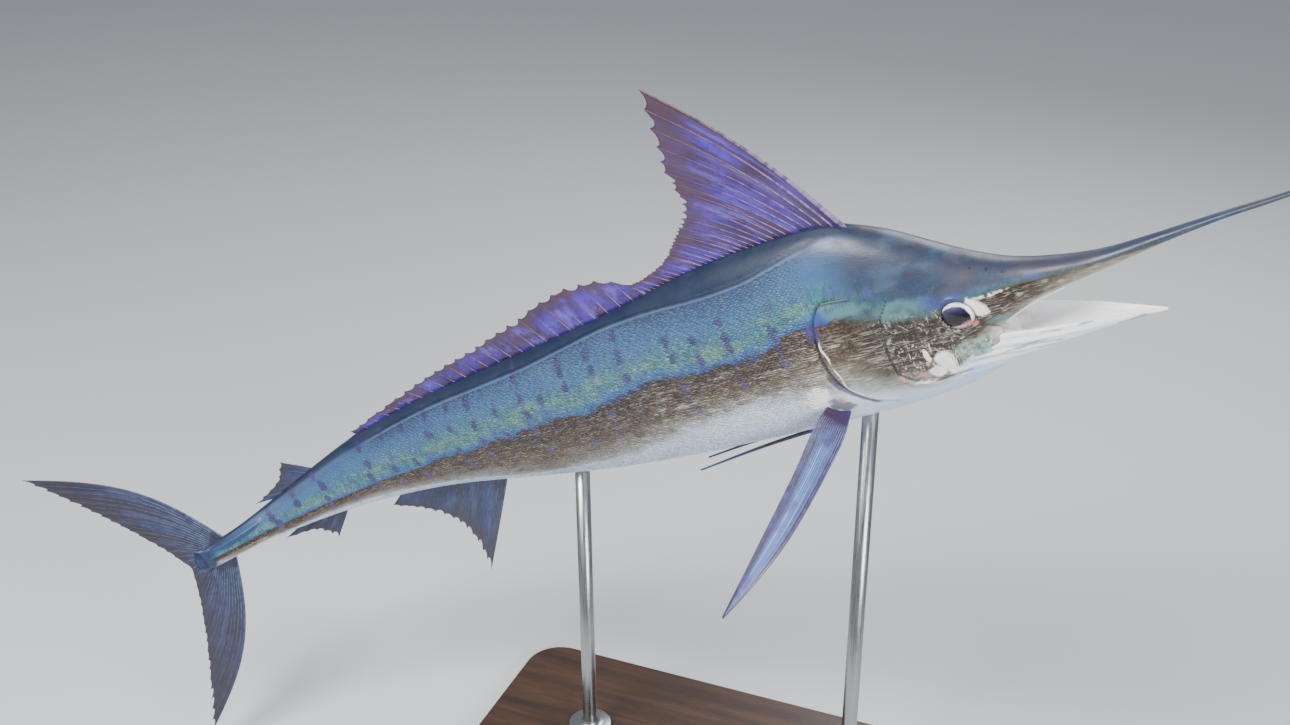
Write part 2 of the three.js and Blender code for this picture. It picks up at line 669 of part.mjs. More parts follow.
const turn = new THREE.Matrix4().makeRotationY(-NOSE_UP).multiply(new THREE.Matrix4().makeRotationX(BANK));
let lowest = Infinity;
fishNodes.forEach(({ geometry }) => {
  const turned = geometry.clone().applyMatrix4(turn);
  turned.computeBoundingBox();
  lowest = Math.min(lowest, turned.boundingBox.min.z);
});
const overBase = bend(new THREE.Vector3(BASE_UNDER_X, 0, 0)).applyMatrix4(turn);
const stance = new THREE.Matrix4()
  .makeTranslation(-overBase.x, 0, FLOOR_CLEARANCE - lowest)
  .multiply(turn);

// Base: a board with round corners and a bevelled top edge
function base() {
  const { length, width, height, corner, bevel } = BASE_SIZE;
  const [x, y] = [length / 2 - bevel, width / 2 - bevel];
  const outline = new THREE.Shape();
  outline.moveTo(-x + corner, -y);
  outline.lineTo(x - corner, -y);
  outline.absarc(x - corner, -y + corner, corner, -Math.PI / 2, 0);
  outline.lineTo(x, y - corner);
  outline.absarc(x - corner, y - corner, corner, 0, Math.PI / 2);
  outline.lineTo(-x + corner, y);
  outline.absarc(-x + corner, y - corner, corner, Math.PI / 2, Math.PI);
  outline.lineTo(-x, -y + corner);
  outline.absarc(-x + corner, -y + corner, corner, Math.PI, Math.PI * 1.5);
  const geometry = new THREE.ExtrudeGeometry(outline, {
    depth: height - 2 * bevel, bevelThickness: bevel, bevelSize: bevel, bevelSegments: 1, curveSegments: 5,
  });
  geometry.translate(0, 0, bevel);
  return solidOf(geometry);
}

// Rod: a round foot on the base, a shaft, and a top cut to the belly that it holds
const clearFish = solidOf(geometryOf(clearBody).applyMatrix4(stance));

function rod(atX) {
  const foot = BASE_SIZE.height + GAP;
  const top = bend(new THREE.Vector3(atX, 0, -40)).applyMatrix4(stance);
  const profile = [
    [0, foot], [ROD.footRadius, foot], [ROD.footRadius, foot + ROD.footHeight],
    [ROD.radius + 6, foot + ROD.footHeight + 3], [ROD.radius, foot + ROD.neck], [ROD.radius, top.z - 220],
    [ROD.radius, top.z], [0, top.z],
  ].map(([r, z]) => new THREE.Vector2(r, z));
  const geometry = new THREE.LatheGeometry(profile, ROD.sides);
  geometry.rotateX(Math.PI / 2);
  geometry.translate(top.x, top.y, 0);
  const pieces = solidOf(geometry).subtract(clearFish).decompose();
  return pieces.sort((a, b) => a.boundingBox().min[2] - b.boundingBox().min[2])[0];
}

const standNodes = [
  { name: "stand_base", geometry: geometryOf(base()), colour: 0x3a2a20, roughness: 0.4, metalness: 0 },
  { name: "stand_rod_front", geometry: geometryOf(rod(ROD_AT_X.front)), colour: 0x9a9da0, roughness: 0.3, metalness: 0.9 },
  { name: "stand_rod_rear", geometry: geometryOf(rod(ROD_AT_X.rear)), colour: 0x9a9da0, roughness: 0.3, metalness: 0.9 },
];

function meshOf({ name, geometry, colour, roughness, metalness }) {
  const material = new THREE.MeshStandardMaterial({ color: colour, roughness, metalness });
  const mesh = new THREE.Mesh(geometry, material);
  mesh.name = name;
  return mesh;
}

const fish = new THREE.Group();
fish.applyMatrix4(stance);
fish.add(...fishNodes.map(meshOf));
const marlin = new THREE.Group();
marlin.add(fish, ...standNodes.map(meshOf));

export default marlin;
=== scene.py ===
# %% [markdown]
# # A striped marlin, life size, on its display stand
# A marlin lunges nose up with its mouth open, its tall dorsal fin raised and its tail swept to
# its right. The packed model holds the sizes. This script dresses it: one skin for the whole
# body, fine fins with their rays, wet eyes, scales, and a stand of dark wood and brushed steel.
#
# Every soft form is worked out twice. First it is laid out on a straight fish, where x runs from
# the tail to the bill, y to the fish's left and z up its back. Then each point is bent along the
# spine and turned with the whole fish. A pattern can so be placed by plain sizes along the fish.

# %% Load the frame
import math

import bpy
import numpy as np
from mathutils import Matrix, Vector


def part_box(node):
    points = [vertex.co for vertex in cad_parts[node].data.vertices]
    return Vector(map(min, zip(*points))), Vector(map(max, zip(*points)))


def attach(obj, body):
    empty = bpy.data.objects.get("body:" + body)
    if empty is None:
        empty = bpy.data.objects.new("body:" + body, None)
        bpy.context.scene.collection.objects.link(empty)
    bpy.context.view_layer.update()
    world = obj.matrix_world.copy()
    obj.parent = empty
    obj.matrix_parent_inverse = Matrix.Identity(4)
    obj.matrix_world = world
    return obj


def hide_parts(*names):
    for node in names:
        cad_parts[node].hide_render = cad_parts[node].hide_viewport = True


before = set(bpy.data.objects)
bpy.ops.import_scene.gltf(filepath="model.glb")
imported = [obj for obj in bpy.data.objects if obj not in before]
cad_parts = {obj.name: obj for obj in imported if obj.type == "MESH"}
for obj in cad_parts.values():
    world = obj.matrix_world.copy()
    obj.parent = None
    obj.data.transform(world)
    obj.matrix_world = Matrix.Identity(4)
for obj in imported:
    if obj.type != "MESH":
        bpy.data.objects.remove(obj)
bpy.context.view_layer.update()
MM = 0.001
BODY = "root"
SIDES = ((-1, "right"), (1, "left"))
print("the frame holds", len(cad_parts), "nodes")

# %% [markdown]
# ## The straight fish
# A few outlines give the whole body: the line of the back, the line of the belly, how wide the
# fish is and how high its widest line lies. Each is a short list of x and size in millimetres,
# with a smooth curve through it. A curve whose slope at each point comes from the two points
# beside it passes through all of them and never swings far between.

# %% Outlines of the straight fish
FORK_X, JAW_TIP_X, BILL_TIP_X = -1000, 1036, 1440
HEAD_FROM_X, JAW_FROM_X, CORNER_X = 515, 700, 775


def through(points):
    """A smooth curve through x, y points, as a function of x."""
    xs, ys = np.array(points, float).T
    before = np.maximum(np.arange(len(xs)) - 1, 0)
    after = np.minimum(np.arange(len(xs)) + 1, len(xs) - 1)
    slope = (ys[after] - ys[before]) / (xs[after] - xs[before])

    def value(x):
        x = np.asarray(x, float)
        i = np.clip(np.searchsorted(xs, x, side="right") - 1, 0, len(xs) - 2)
        h = xs[i + 1] - xs[i]
        t = np.clip((x - xs[i]) / h, 0, 1)
        s = t * t * (3 - 2 * t)
        turn = (1 - t) * slope[i] - t * slope[i + 1]
        return ys[i] + (ys[i + 1] - ys[i]) * s + h * t * (1 - t) * turn

    return value


back = through([
    [-1000, 25], [-900, 31], [-760, 53], [-600, 82], [-400, 105], [-200, 122], [0, 138],
    [120, 152], [200, 165], [260, 176], [330, 185], [400, 191], [500, 196], [556, 189], [627, 162],
    [700, 119], [760, 85], [820, 61], [900, 46], [970, 42.5], [1050, 49], [1150, 59.5], [1250, 69],
    [1440, 92]])
belly = through([
    [-1000, -25], [-900, -31], [-760, -51], [-600, -77], [-400, -108], [-240, -135], [-60, -162],
    [120, -177], [300, -179], [430, -175], [556, -166], [674, -146], [740, -131]])
half_width = through([
    [-1000, 15], [-950, 19], [-880, 23], [-750, 33], [-600, 46], [-400, 61], [-200, 72], [0, 80],
    [200, 85], [400, 87], [515, 84], [600, 79], [700, 69], [775, 54], [840, 39], [900, 30.5],
    [960, 22], [1040, 14.5], [1130, 10.5], [1243, 7], [1440, 2]])
widest_z = through([
    [-1000, 0], [-300, 0], [100, -8], [400, -6], [600, -10], [700, -8], [775, 8], [840, 17],
    [900, 22], [970, 27], [1050, 39], [1150, 54], [1243, 64.5], [1440, 90.5]])
upper_jaw = through([
    [700, -82], [735, -64], [775, -45], [840, -19], [900, -3], [970, 11], [1050, 30], [1150, 49],
    [1243, 60], [1440, 89]])
jaw_rim = through([
    [640, -118], [700, -84], [735, -66], [775, -49], [830, -54], [900, -62], [965, -72],
    [1036, -82.5]])
jaw_below = through([
    [640, -152], [700, -139], [750, -127], [824, -110], [894, -97], [961, -90], [1036, -85]])
jaw_half_width = through([
    [640, 66], [700, 60], [775, 53], [830, 48], [900, 36], [965, 20], [1010, 9], [1036, 2.5]])
jaw_hollow = through([
    [700, 0], [770, 3], [810, 24], [870, 22], [930, 14], [990, 5], [1036, 0.5]])


def ease(t):
    """A smooth way from 0 to 1."""
    t = np.clip(t, 0, 1)
    return t * t * (3 - 2 * t)


def between(t, start, end, run_in, run_out):
    """1 from start to end, with a smooth run in and a smooth run out inside them."""
    return ease((t - start) / run_in) * ease((end - t) / run_out)


def mix(a, b, t):
    return a + (b - a) * t


def hump(d, width):
    """1 where d is 0, falling smoothly to almost nothing at twice the width."""
    return np.exp(-((d / width) ** 2))


print("deepest at x = 400:", round(float(back(400) - belly(400))), "mm")

# %% [markdown]
# ## Bending the fish
# The spine turns smoothly: the back arches by a few degrees behind the head, and the tail sweeps
# to the fish's right. Points behind the head are carried by the spine's place and direction at
# their x. Then the whole fish is banked, tilted nose up, and set where the packed model has it.
# The shift is found from the bill, whose solid has the same outline.

# %% Bend and place
BEND_FROM_X, SPINE_STEP = 600, 5
ARCH_ANGLE, ARCH_FROM, ARCH_LENGTH = math.radians(5), 560, 600
SWEEP_ANGLE, SWEEP_FROM, SWEEP_LENGTH = math.radians(38), -300, 600
NOSE_UP, BANK = math.radians(22), math.radians(4)


def heading(x):
    """The bent spine's directions forward, left and up at x."""
    sweep = SWEEP_ANGLE * ease((SWEEP_FROM - x) / SWEEP_LENGTH)
    arch = ARCH_ANGLE * ease((ARCH_FROM - x) / ARCH_LENGTH)
    level = np.cos(arch)
    forward = np.stack([level * np.cos(sweep), level * np.sin(sweep), np.sin(arch)], -1)
    left = np.stack([-np.sin(sweep), np.cos(sweep), np.zeros_like(sweep)], -1)
    return forward, left, np.cross(forward, left)


spine_x = np.arange(BEND_FROM_X, FORK_X - 1, -SPINE_STEP, dtype=float)
spine_turns = heading(spine_x[1:] + SPINE_STEP / 2)[0]
spine_start = np.array([[BEND_FROM_X, 0, 0]])
spine = np.vstack([spine_start, spine_start - np.cumsum(spine_turns * SPINE_STEP, axis=0)])


def bend(p):
    """Straight points, in mm, as an array of x, y, z, carried along the bent spine."""
    p = np.asarray(p, float)
    x = np.clip(p[..., 0], FORK_X, BEND_FROM_X)
    at = (BEND_FROM_X - x) / SPINE_STEP
    i = np.clip(at.astype(int), 0, len(spine) - 2)
    share = (at - i)[..., None]
    centre = spine[i] * (1 - share) + spine[i + 1] * share
    forward, left, up = heading(x)
    ahead = (p[..., 0] - x)[..., None]
    return centre + ahead * forward + p[..., 1:2] * left + p[..., 2:3] * up


TURN = np.array(Matrix.Rotation(-NOSE_UP, 3, "Y") @ Matrix.Rotation(BANK, 3, "X"))
# How square a section is above and below its widest line. 2 is an ellipse.
SHAPES = {"trunk": (1.95, 2.1), "snout": (2.2, 2.9), "bill": (2.1, 2.5)}


def section(x, angle, low, grow=0.0, shape=SHAPES["trunk"]):
    """A point of the body's surface. Angle 0 is the back, a quarter turn is the right flank."""
    x, angle = np.broadcast_arrays(np.asarray(x, float), np.asarray(angle, float))
    above, below = (np.broadcast_to(s, x.shape) for s in shape)
    side, rise = np.sin(angle), np.cos(angle)
    upper = rise > 0
    middle = widest_z(x)
    height = np.where(upper, back(x) - middle, middle - low) + grow
    roundness = 2 / np.where(upper, above, below)
    y = -(half_width(x) + grow) * np.sign(side) * np.abs(side) ** roundness
    z = middle + height * np.sign(rise) * np.abs(rise) ** roundness
    return np.stack([x, y, z], -1)


BILL_SIDES = 16
bill_turn = np.arange(BILL_SIDES) / BILL_SIDES * 2 * np.pi
bill_ring = section(BILL_TIP_X, bill_turn, upper_jaw(BILL_TIP_X), 0, SHAPES["bill"])
bill_high = np.array(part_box("bill")[1]) / MM
shift = bill_high - (bend(bill_ring) @ TURN.T).max(axis=0)
shift[1] = 0


def place(p):
    """Straight points, in mm, to their place in the frame, in metres."""
    return (bend(p) @ TURN.T + shift) * MM


print("the bill's tip is at", place(np.array([BILL_TIP_X, 0, back(BILL_TIP_X)])).round(3))

# %% [markdown]
# ## Helpers for meshes
# A mesh is built from straight points and faces in one go. It keeps where each vertex was on the
# straight fish as an attribute, in metres. The materials read it, so that bars and spots follow
# the bent body, and stay put however the piece is seen.

# %% Mesh helpers
pieces = []


def keep_attribute(mesh, key, values):
    """Keeps a number or a vector for each vertex of a mesh."""
    kind, field = ("FLOAT_VECTOR", "vector") if values.ndim == 2 else ("FLOAT", "value")
    layer = mesh.attributes.new(key, kind, "POINT")
    layer.data.foreach_set(field, values.astype(np.float32).ravel())


def finish_piece(name, mesh, material, replaces=()):
    """A finished mesh as a piece that rides on the body and has its material slot."""
    piece = bpy.data.objects.new(name, mesh)
    bpy.context.scene.collection.objects.link(piece)
    if not mesh.materials:
        mesh.materials.append(material)
    mesh.polygons.foreach_set("use_smooth", [True] * len(mesh.polygons))
    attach(piece, BODY)
    if replaces:
        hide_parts(*replaces)
    pieces.append(piece)
    print(name, "has", sum(len(p.vertices) - 2 for p in mesh.polygons), "triangles")


def mesh_piece(name, straight, faces, material, replaces, fields):
    """A piece from straight points, in mm, that keeps them and other fields on its vertices."""
    straight = np.asarray(straight, float)
    mesh = bpy.data.meshes.new(name)
    mesh.from_pydata(place(straight).tolist(), [], [list(map(int, f)) for f in faces])
    mesh.validate()
    keep_attribute(mesh, "straight", straight * MM)
    for key, values in fields.items():
        keep_attribute(mesh, key, np.asarray(values, float))
    finish_piece(name, mesh, material, replaces)


print("pieces ride on", BODY)

# %% Helpers for node trees


def new_tree(name, inputs):
    """A tree that takes and gives a mesh, with named inputs: name, kind and default value."""
    tree = bpy.data.node_groups.new(name, "GeometryNodeTree")
    tree.interface.new_socket("Geometry", in_out="INPUT", socket_type="NodeSocketGeometry")
    for key, kind, default in inputs:
        made = tree.interface.new_socket(key, in_out="INPUT", socket_type="NodeSocket" + kind)
        if default is not None:
            made.default_value = default
    tree.interface.new_socket("Geometry", in_out="OUTPUT", socket_type="NodeSocketGeometry")
    return tree


def add_node(tree, kind, settings=None, **constants):
    """A node with its settings made and some of its inputs set."""
    node = tree.nodes.new(kind)
    for key, value in (settings or {}).items():
        setattr(node, key, value)
    for key, value in constants.items():
        node.inputs[key].default_value = value
    return node


def wire(tree, *links):
    """Links from an output of one node to an input of another, each by name or number."""
    for source, out, target, into in links:
        tree.links.new(source.outputs[out], target.inputs[into])


def socket_id(tree, name):
    """The identifier of a tree's input, by which a modifier knows it."""
    items = tree.interface.items_tree
    return next(s.identifier for s in items if s.name == name and s.in_out == "INPUT")


def through_nodes(mesh, tree, inputs):
    """The mesh that a node tree makes of a mesh, with no modifier left."""
    holder = bpy.data.objects.new("holder", mesh)
    bpy.context.scene.collection.objects.link(holder)
    modifier = holder.modifiers.new("nodes", "NODES")
    modifier.node_group = tree
    for name, value in inputs.items():
        modifier[socket_id(tree, name)] = value
    evaluated = holder.evaluated_get(bpy.context.evaluated_depsgraph_get())
    made = bpy.data.meshes.new_from_object(evaluated)
    bpy.data.objects.remove(holder)
    return made


print("trees take their inputs by name")

# %% Helpers for closed shells


def tube_faces(rings, around):
    """Faces of a grid of rings, with a fan over each end. Each end's middle comes last."""
    faces = []
    for r in range(rings - 1):
        for k in range(around):
            a, b = r * around + k, r * around + (k + 1) % around
            faces.append((a, b, b + around, a + around))
    first, last, end = rings * around, rings * around + 1, (rings - 1) * around
    for k in range(around):
        b = (k + 1) % around
        faces += [(first, b, k), (last, end + k, end + b)]
    return faces


def loft(rings):
    """Points and faces of a closed solid through rings of points, an array of rings, around, 3."""
    count, around = rings.shape[:2]
    ends = np.array([rings[0].mean(axis=0), rings[-1].mean(axis=0)])
    points = np.vstack([rings.reshape(-1, 3), ends])
    return points, facing_out(points, tube_faces(count, around))


def sheet_faces(rows, columns):
    """Faces of two sheets of points, outer then inner, closed round their edge."""
    one = rows * columns
    grid = np.arange(one).reshape(rows, columns)
    a, b, c, d = grid[:-1, :-1], grid[1:, :-1], grid[1:, 1:], grid[:-1, 1:]
    outer = np.stack([a, b, c, d], -1).reshape(-1, 4)
    inner = np.stack([a, d, c, b], -1).reshape(-1, 4) + one
    edge = np.concatenate([grid[:, 0], grid[-1, 1:], grid[:-1, -1][::-1], grid[0, 1:-1][::-1]])
    after = np.roll(edge, -1)
    rim = np.stack([after, edge, edge + one, after + one], -1)
    return np.vstack([outer, inner, rim]).tolist()


def thin_plate(outer, inner):
    """Points and faces of a thin closed plate between two sheets of points."""
    points = np.vstack([outer.reshape(-1, 3), inner.reshape(-1, 3)])
    return points, facing_out(points, sheet_faces(*outer.shape[:2]))


def both_sheets(field, shape):
    """A field of one sheet, for the vertices of both sheets of a plate."""
    return np.tile(np.broadcast_to(field, shape).ravel(), 2)


def facing_out(points, faces):
    """The faces of a closed shell, turned round if they point inwards."""
    corners = np.array([(f[0], f[k], f[k + 1]) for f in faces for k in range(1, len(f) - 1)])
    a, b, c = (points[corners[:, k]] for k in range(3))
    volume = np.einsum("ij,ij->i", a, np.cross(b, c)).sum()
    return faces if volume > 0 else [tuple(f)[::-1] for f in faces]


def joined(parts):
    """Several lots of points and faces as one."""
    points, faces, start = [], [], 0
    for p, f in parts:
        points.append(p)
        faces += [tuple(i + start for i in face) for face in f]
        start += len(p)
    return np.vstack(points), faces


print("a plate of 2 by 2 points has", len(sheet_faces(2, 2)), "faces")

# %% [markdown]
# ## Helpers for materials
# A material is a small net of nodes. These helpers keep each net short enough to read: a value or
# a colour goes in, and the socket that holds the result comes out.

# %% Material helpers


def linear(code):
    """A colour as it looks on a screen, such as 5f7286, in the linear values that Blender mixes."""
    parts = [int(code[i:i + 2], 16) / 255 for i in (0, 2, 4)]
    return [c / 12.92 if c <= 0.04045 else ((c + 0.055) / 1.055) ** 2.4 for c in parts] + [1.0]


class Finish:
    """A material on one Principled shader, with short ways to add nodes to it."""

    def __init__(self, name, roughness, **constants):
        self.material = bpy.data.materials.new(name)
        self.material.use_nodes = True
        self.tree = self.material.node_tree
        self.shader = self.tree.nodes["Principled BSDF"]
        self.shader.inputs["Roughness"].default_value = roughness
        for key, value in constants.items():
            self.shader.inputs[key.replace("_", " ")].default_value = value
        self.spot = None

    def feed(self, socket, value):
        """Links a socket into another, or sets a number, a vector or a colour on it."""
        if isinstance(value, bpy.types.NodeSocket):
            self.tree.links.new(value, socket)
        else:
            socket.default_value = linear(value) if isinstance(value, str) else value

    def node(self, kind, settings=None, **inputs):
        """A node with its inputs fed by name, or by number after an i."""
        node = self.tree.nodes.new(kind)
        for key, value in (settings or {}).items():
            setattr(node, key, value)
        for key, value in inputs.items():
            self.feed(node.inputs[int(key[1:]) if key[1:].isdigit() else key], value)
        return node

    def attribute(self, name, out):
        return self.node("ShaderNodeAttribute", {"attribute_name": name}).outputs[out]

    def value(self, name):
        """A field kept on the vertices."""
        return self.attribute(name, "Fac")

    def parts(self, vector):
        return self.node("ShaderNodeSeparateXYZ", i0=vector).outputs

    def on_fish(self):
        """A point's place on the straight fish, in metres."""
        if self.spot is None:
            self.spot = self.attribute("straight", "Vector")
        return self.spot

    def straight(self):
        """x, y and z of the straight fish, in metres."""
        return self.parts(self.on_fish())

    def math(self, operation, a, b=0.0):
        return self.node("ShaderNodeMath", {"operation": operation}, i0=a, i1=b).outputs[0]

    def times(self, *values):
        """All the values multiplied."""
        product = values[0]
        for value in values[1:]:
            product = self.math("MULTIPLY", product, value)
        return product

    def plus(self, a, b):
        return self.math("ADD", a, b)

    def where(self, stretch, shift=(0, 0, 0), source=None):
        """A place to read a pattern at, by default on the straight fish."""
        source = self.on_fish() if source is None else source
        return self.node(
            "ShaderNodeMapping", Vector=source, Scale=stretch, Location=shift).outputs[0]

    def noise(self, scale, detail, stretch=(1, 1, 1), rough=0.5, source=None, shift=(0, 0, 0)):
        return self.node(
            "ShaderNodeTexNoise", Vector=self.where(stretch, shift, source), Scale=scale,
            Detail=detail, Roughness=rough).outputs["Fac"]

    def wobble(self, amount, *noise, **more):
        """Noise that swings about zero."""
        return self.times(self.math("SUBTRACT", self.noise(*noise, **more), 0.5), amount)

    def cracks(self, scale, stretch):
        """How far it is to the nearest border between scattered cells."""
        return self.node(
            "ShaderNodeTexVoronoi", {"feature": "DISTANCE_TO_EDGE"}, Vector=self.where(stretch),
            Scale=scale).outputs["Distance"]

    def step(self, value, low, high, to_low=0.0, to_high=1.0):
        """A smooth step from one value to another between low and high."""
        return self.node("ShaderNodeMapRange", {"interpolation_type": "SMOOTHSTEP"}, Value=value,
                         i1=low, i2=high, i3=to_low, i4=to_high).outputs[0]

    def blend(self, share, a, b, how="MIX"):
        settings = {"data_type": "RGBA", "blend_type": how, "clamp_factor": True}
        return self.node("ShaderNodeMix", settings, i0=share, i6=a, i7=b).outputs[2]

    def coat(self, colour, over, *shares):
        """A colour with another laid over it, by all the shares multiplied."""
        return self.blend(self.times(*shares), colour, over)

    def ramp(self, value, stops):
        """Colours along a value. Each stop is where it is and its colour."""
        ramp = self.node("ShaderNodeValToRGB", Fac=value)
        points = ramp.color_ramp.elements
        while len(points) < len(stops):
            points.new(0.5)
        for point, (at, colour) in zip(points, stops):
            point.position = at
            point.color = linear(colour)
        return ramp.outputs["Color"]

    def done(self, colour, roughness=None, height=None, depth=0.001, strength=1.0):
        """The material, with its colour, roughness and bump linked in."""
        self.feed(self.shader.inputs["Base Color"], colour)
        if roughness is not None:
            self.feed(self.shader.inputs["Roughness"], roughness)
        if height is not None:
            bump = self.node("ShaderNodeBump", Height=height, Distance=depth, Strength=strength)
            self.feed(self.shader.inputs["Normal"], bump.outputs[0])
        return self.material


print("a finish has", len([k for k in vars(Finish) if k[0] != "_"]), "ways to add nodes")

# %% [markdown]
# ## The lines on the flank
# Four lines divide the flank from the ridge to the belly: a fold beside the dorsal fin, the edge
# between turquoise and bronze, the edge between bronze and silver, and the belly itself. A zone
# number counts them, with parts for the way between, and most of the colours follow from it.

# %% Lines and zones
fold_line = through([
    [-1000, 16], [-600, 64], [-400, 86], [-134, 105], [-29, 117], [70, 129], [185, 136],
    [292, 138], [375, 145], [435, 158], [493, 171], [560, 179], [640, 150], [720, 104],
    [800, 66], [900, 44], [970, 41], [1440, 91.5]])
bronze_line = through([
    [-1000, 0], [-600, -18], [-315, -13], [-221, -4], [-134, 0], [18, 2], [136, 14], [360, 15],
    [392, 26], [424, 42], [509, 52], [568, 44], [640, 32], [700, 24], [745, 24], [800, 31],
    [900, 31], [960, 30], [1040, 35], [1440, 90]])
silver_line = through([
    [-1000, -12], [-600, -52], [-315, -92], [-251, -104], [-106, -114], [-10, -114], [95, -103],
    [200, -84], [312, -70], [376, -66], [427, -64], [480, -74], [540, -92], [600, -98],
    [660, -100], [700, -88], [760, -52], [840, -10], [900, 4], [1040, 29], [1440, 89.5]])


def low_line(x):
    """The belly, and ahead of it the lower edge of the upper jaw."""
    jaw = np.minimum(upper_jaw(np.maximum(x, JAW_FROM_X)), silver_line(x) - 1)
    return np.where(x < JAW_FROM_X, belly(x), jaw)


def zone_of(p):
    """0 on the ridge, 1 at the fold, 2 at the bronze, 3 at the silver and 4 on the belly."""
    x, z = p[..., 0], p[..., 2]
    levels = [back(x), fold_line(x), bronze_line(x), silver_line(x), low_line(x)]
    pairs = zip(levels[:-1], levels[1:])
    return sum(np.clip((a - z) / np.maximum(a - b, 0.5), 0, 1) for a, b in pairs)


def distance_to(x, z, line):
    """How far each point of the flank is from a line of x, z points, in mm."""
    best = np.full(np.shape(x), np.inf)
    for (ax, az), (bx, bz) in zip(line[:-1], line[1:]):
        dx, dz = bx - ax, bz - az
        t = np.clip(((x - ax) * dx + (z - az) * dz) / (dx * dx + dz * dz), 0, 1)
        best = np.minimum(best, np.hypot(x - ax - t * dx, z - az - t * dz))
    return best


print("the bronze begins", round(float(bronze_line(300))), "mm up at x = 300")

# %% [markdown]
# ## The relief of the skin
# A marlin's head is all plates and folds under one skin: a socket with a raised rim, a ridged
# lip, the groove of the cheek plate, two nostrils ahead of the eye, and a groove along the back
# that the dorsal fin folds into. Each is a small rise or fall added to the smooth body, worked
# out from how far a point is from a line or a spot on the flank.

# %% Relief of head and trunk
EYE_X, EYE_Z, EYE_TILT = 726, 6, math.radians(-38)
EYE_LONG, EYE_HIGH, EYE_BULGE, EYE_OUT = 29.5, 24.8, 13, 4.4
CHEEK_GROOVE = [
    (618, 60), (600, 34), (594, 0), (592, -38), (595, -74), (617, -93), (653, -102), (684, -101),
    (716, -97)]
LATERAL_LINE = [
    (474, 66), (430, 70), (380, 58), (335, 34), (290, 14), (220, 6), (0, 2), (-400, 0), (-940, 0)]
GILL_EDGE = [
    (520, 84), (503, 76), (493, 55), (482, 16), (479, -19), (482, -46), (492, -69), (513, -91),
    (540, -115), (567, -135), (620, -148)]
LIP = [(694, -80), (735, -59.5), (775, -40.5), (840, -14.5), (895, 0)]
MAXILLA_TOP = [(692, -66), (715, -44), (752, -26), (800, -8), (838, 6)]
MAXILLA_REAR = [(692, -66), (697, -84), (716, -90)]
PECTORAL_ROOT = (476, -112)
VENT_X = -246


def eye_away(x, z):
    """How far x, z is outside the rim of the oval eye, in mm."""
    ahead, up = x - EYE_X, z - EYE_Z
    c, s = math.cos(EYE_TILT), math.sin(EYE_TILT)
    long_way, high_way = ahead * c + up * s, up * c - ahead * s
    return (np.hypot(long_way / EYE_LONG, high_way / EYE_HIGH) - 1) * EYE_HIGH


# Swellings and hollows: x, z, how far they rise and their radius, in mm, and how much narrower
# they are along x and z. They are the brow, the snout, the hollow ahead of the eye, the two
# nostrils, and the muscle at the root of the pectoral fin.
SWELLINGS = [
    (EYE_X - 6, EYE_Z + 29, 2.4, 20, 1, 1.6), (742, 48, 2.2, 24, 1, 1.4),
    (764, -2, -1.6, 14, 1 / 1.5, 1), (776, 26, -5.0, 2.8, 1, 1), (786, 27, -5.0, 2.8, 1, 1),
    (PECTORAL_ROOT[0] - 2, PECTORAL_ROOT[1], 8.5, 39, 1, 1.1)]

# Creases and ridges: the line, how far it rises, and how wide it is.
CREASES = [
    (CHEEK_GROOVE, -3.0, 3.2), (LIP, 2.8, 4.2), (MAXILLA_TOP, -1.0, 2.6),
    (MAXILLA_REAR, -2.0, 2.6), (LATERAL_LINE, -0.9, 3.2)]


def flank_relief(x, z):
    """How far the two flanks rise above the smooth body."""
    outside = eye_away(x, z)
    rise = 3.6 * hump(outside - 1.6, 3.4) - 17 * ease((0.2 - outside) / 3.4)
    for at_x, at_z, high, radius, thin_x, thin_z in SWELLINGS:
        rise += high * hump(np.hypot((x - at_x) * thin_x, (z - at_z) * thin_z), radius)
    for line, high, width in CREASES:
        rise += high * hump(distance_to(x, z, line), width)
    nostril_rim = hump(np.hypot(x - 781, z - 27) - 9, 3)
    cheek_edge = hump(distance_to(x, z, CHEEK_GROOVE) - 7.5, 5) * (x > 597)
    gill_slit = hump(distance_to(x, z, GILL_EDGE), 7.5) * ease((585 - x) / 40)
    return rise + 1.2 * nostril_rim + 1.8 * cheek_edge - 4.6 * gill_slit


def middle_relief(x, y, z):
    """The grooves along the back and the belly, the fold beside the dorsal fin, and the vent."""
    above, below = z > widest_z(x), z < widest_z(x)
    top = above * between(x, -640, 590, 60, 30)
    groove = 2.2 * hump(np.abs(y) - 9, 4) - 3.0 * hump(y, 4)
    from_fold = z - fold_line(x)
    fold = 0.5 * hump(from_fold + 2, 3.4) - 1.3 * hump(from_fold - 5, 3.6)
    fold *= (x > -620) * ease((545 - x) / 60)
    under = 1.6 * hump(np.abs(y) - 26, 7) - 3.4 * hump(y, 16)
    vent = 6 * hump(np.hypot(x - VENT_X, y), 7)
    return top * (groove + fold) + below * (between(x, 90, 480, 60, 40) * under - vent)


def relief(x, y, z):
    return ease(np.abs(y) / 12) * flank_relief(x, z) + middle_relief(x, y, z)


print("the cheek groove is", len(CHEEK_GROOVE) - 1, "stretches long")

# %% Keels of the tail stock
KEEL_FROM, KEEL_TO, KEEL_HIGH, KEEL_THICK = -984, -872, 12.5, 3.1


def keels(x, z):
    """How far the two low keels on each side of the tail stock push out sideways."""
    t = np.clip((x - KEEL_FROM) / (KEEL_TO - KEEL_FROM), 0, 1)
    inside = (x > KEEL_FROM - 6) & (x < KEEL_TO + 6)
    swell = np.sin(np.pi * (0.06 + 0.88 * t)) ** 0.7 * inside
    level = 15 + 5 * t
    return KEEL_HIGH * swell * hump(np.abs(np.abs(z) - level), KEEL_THICK)


print("the keels are", KEEL_TO - KEEL_FROM, "mm long")

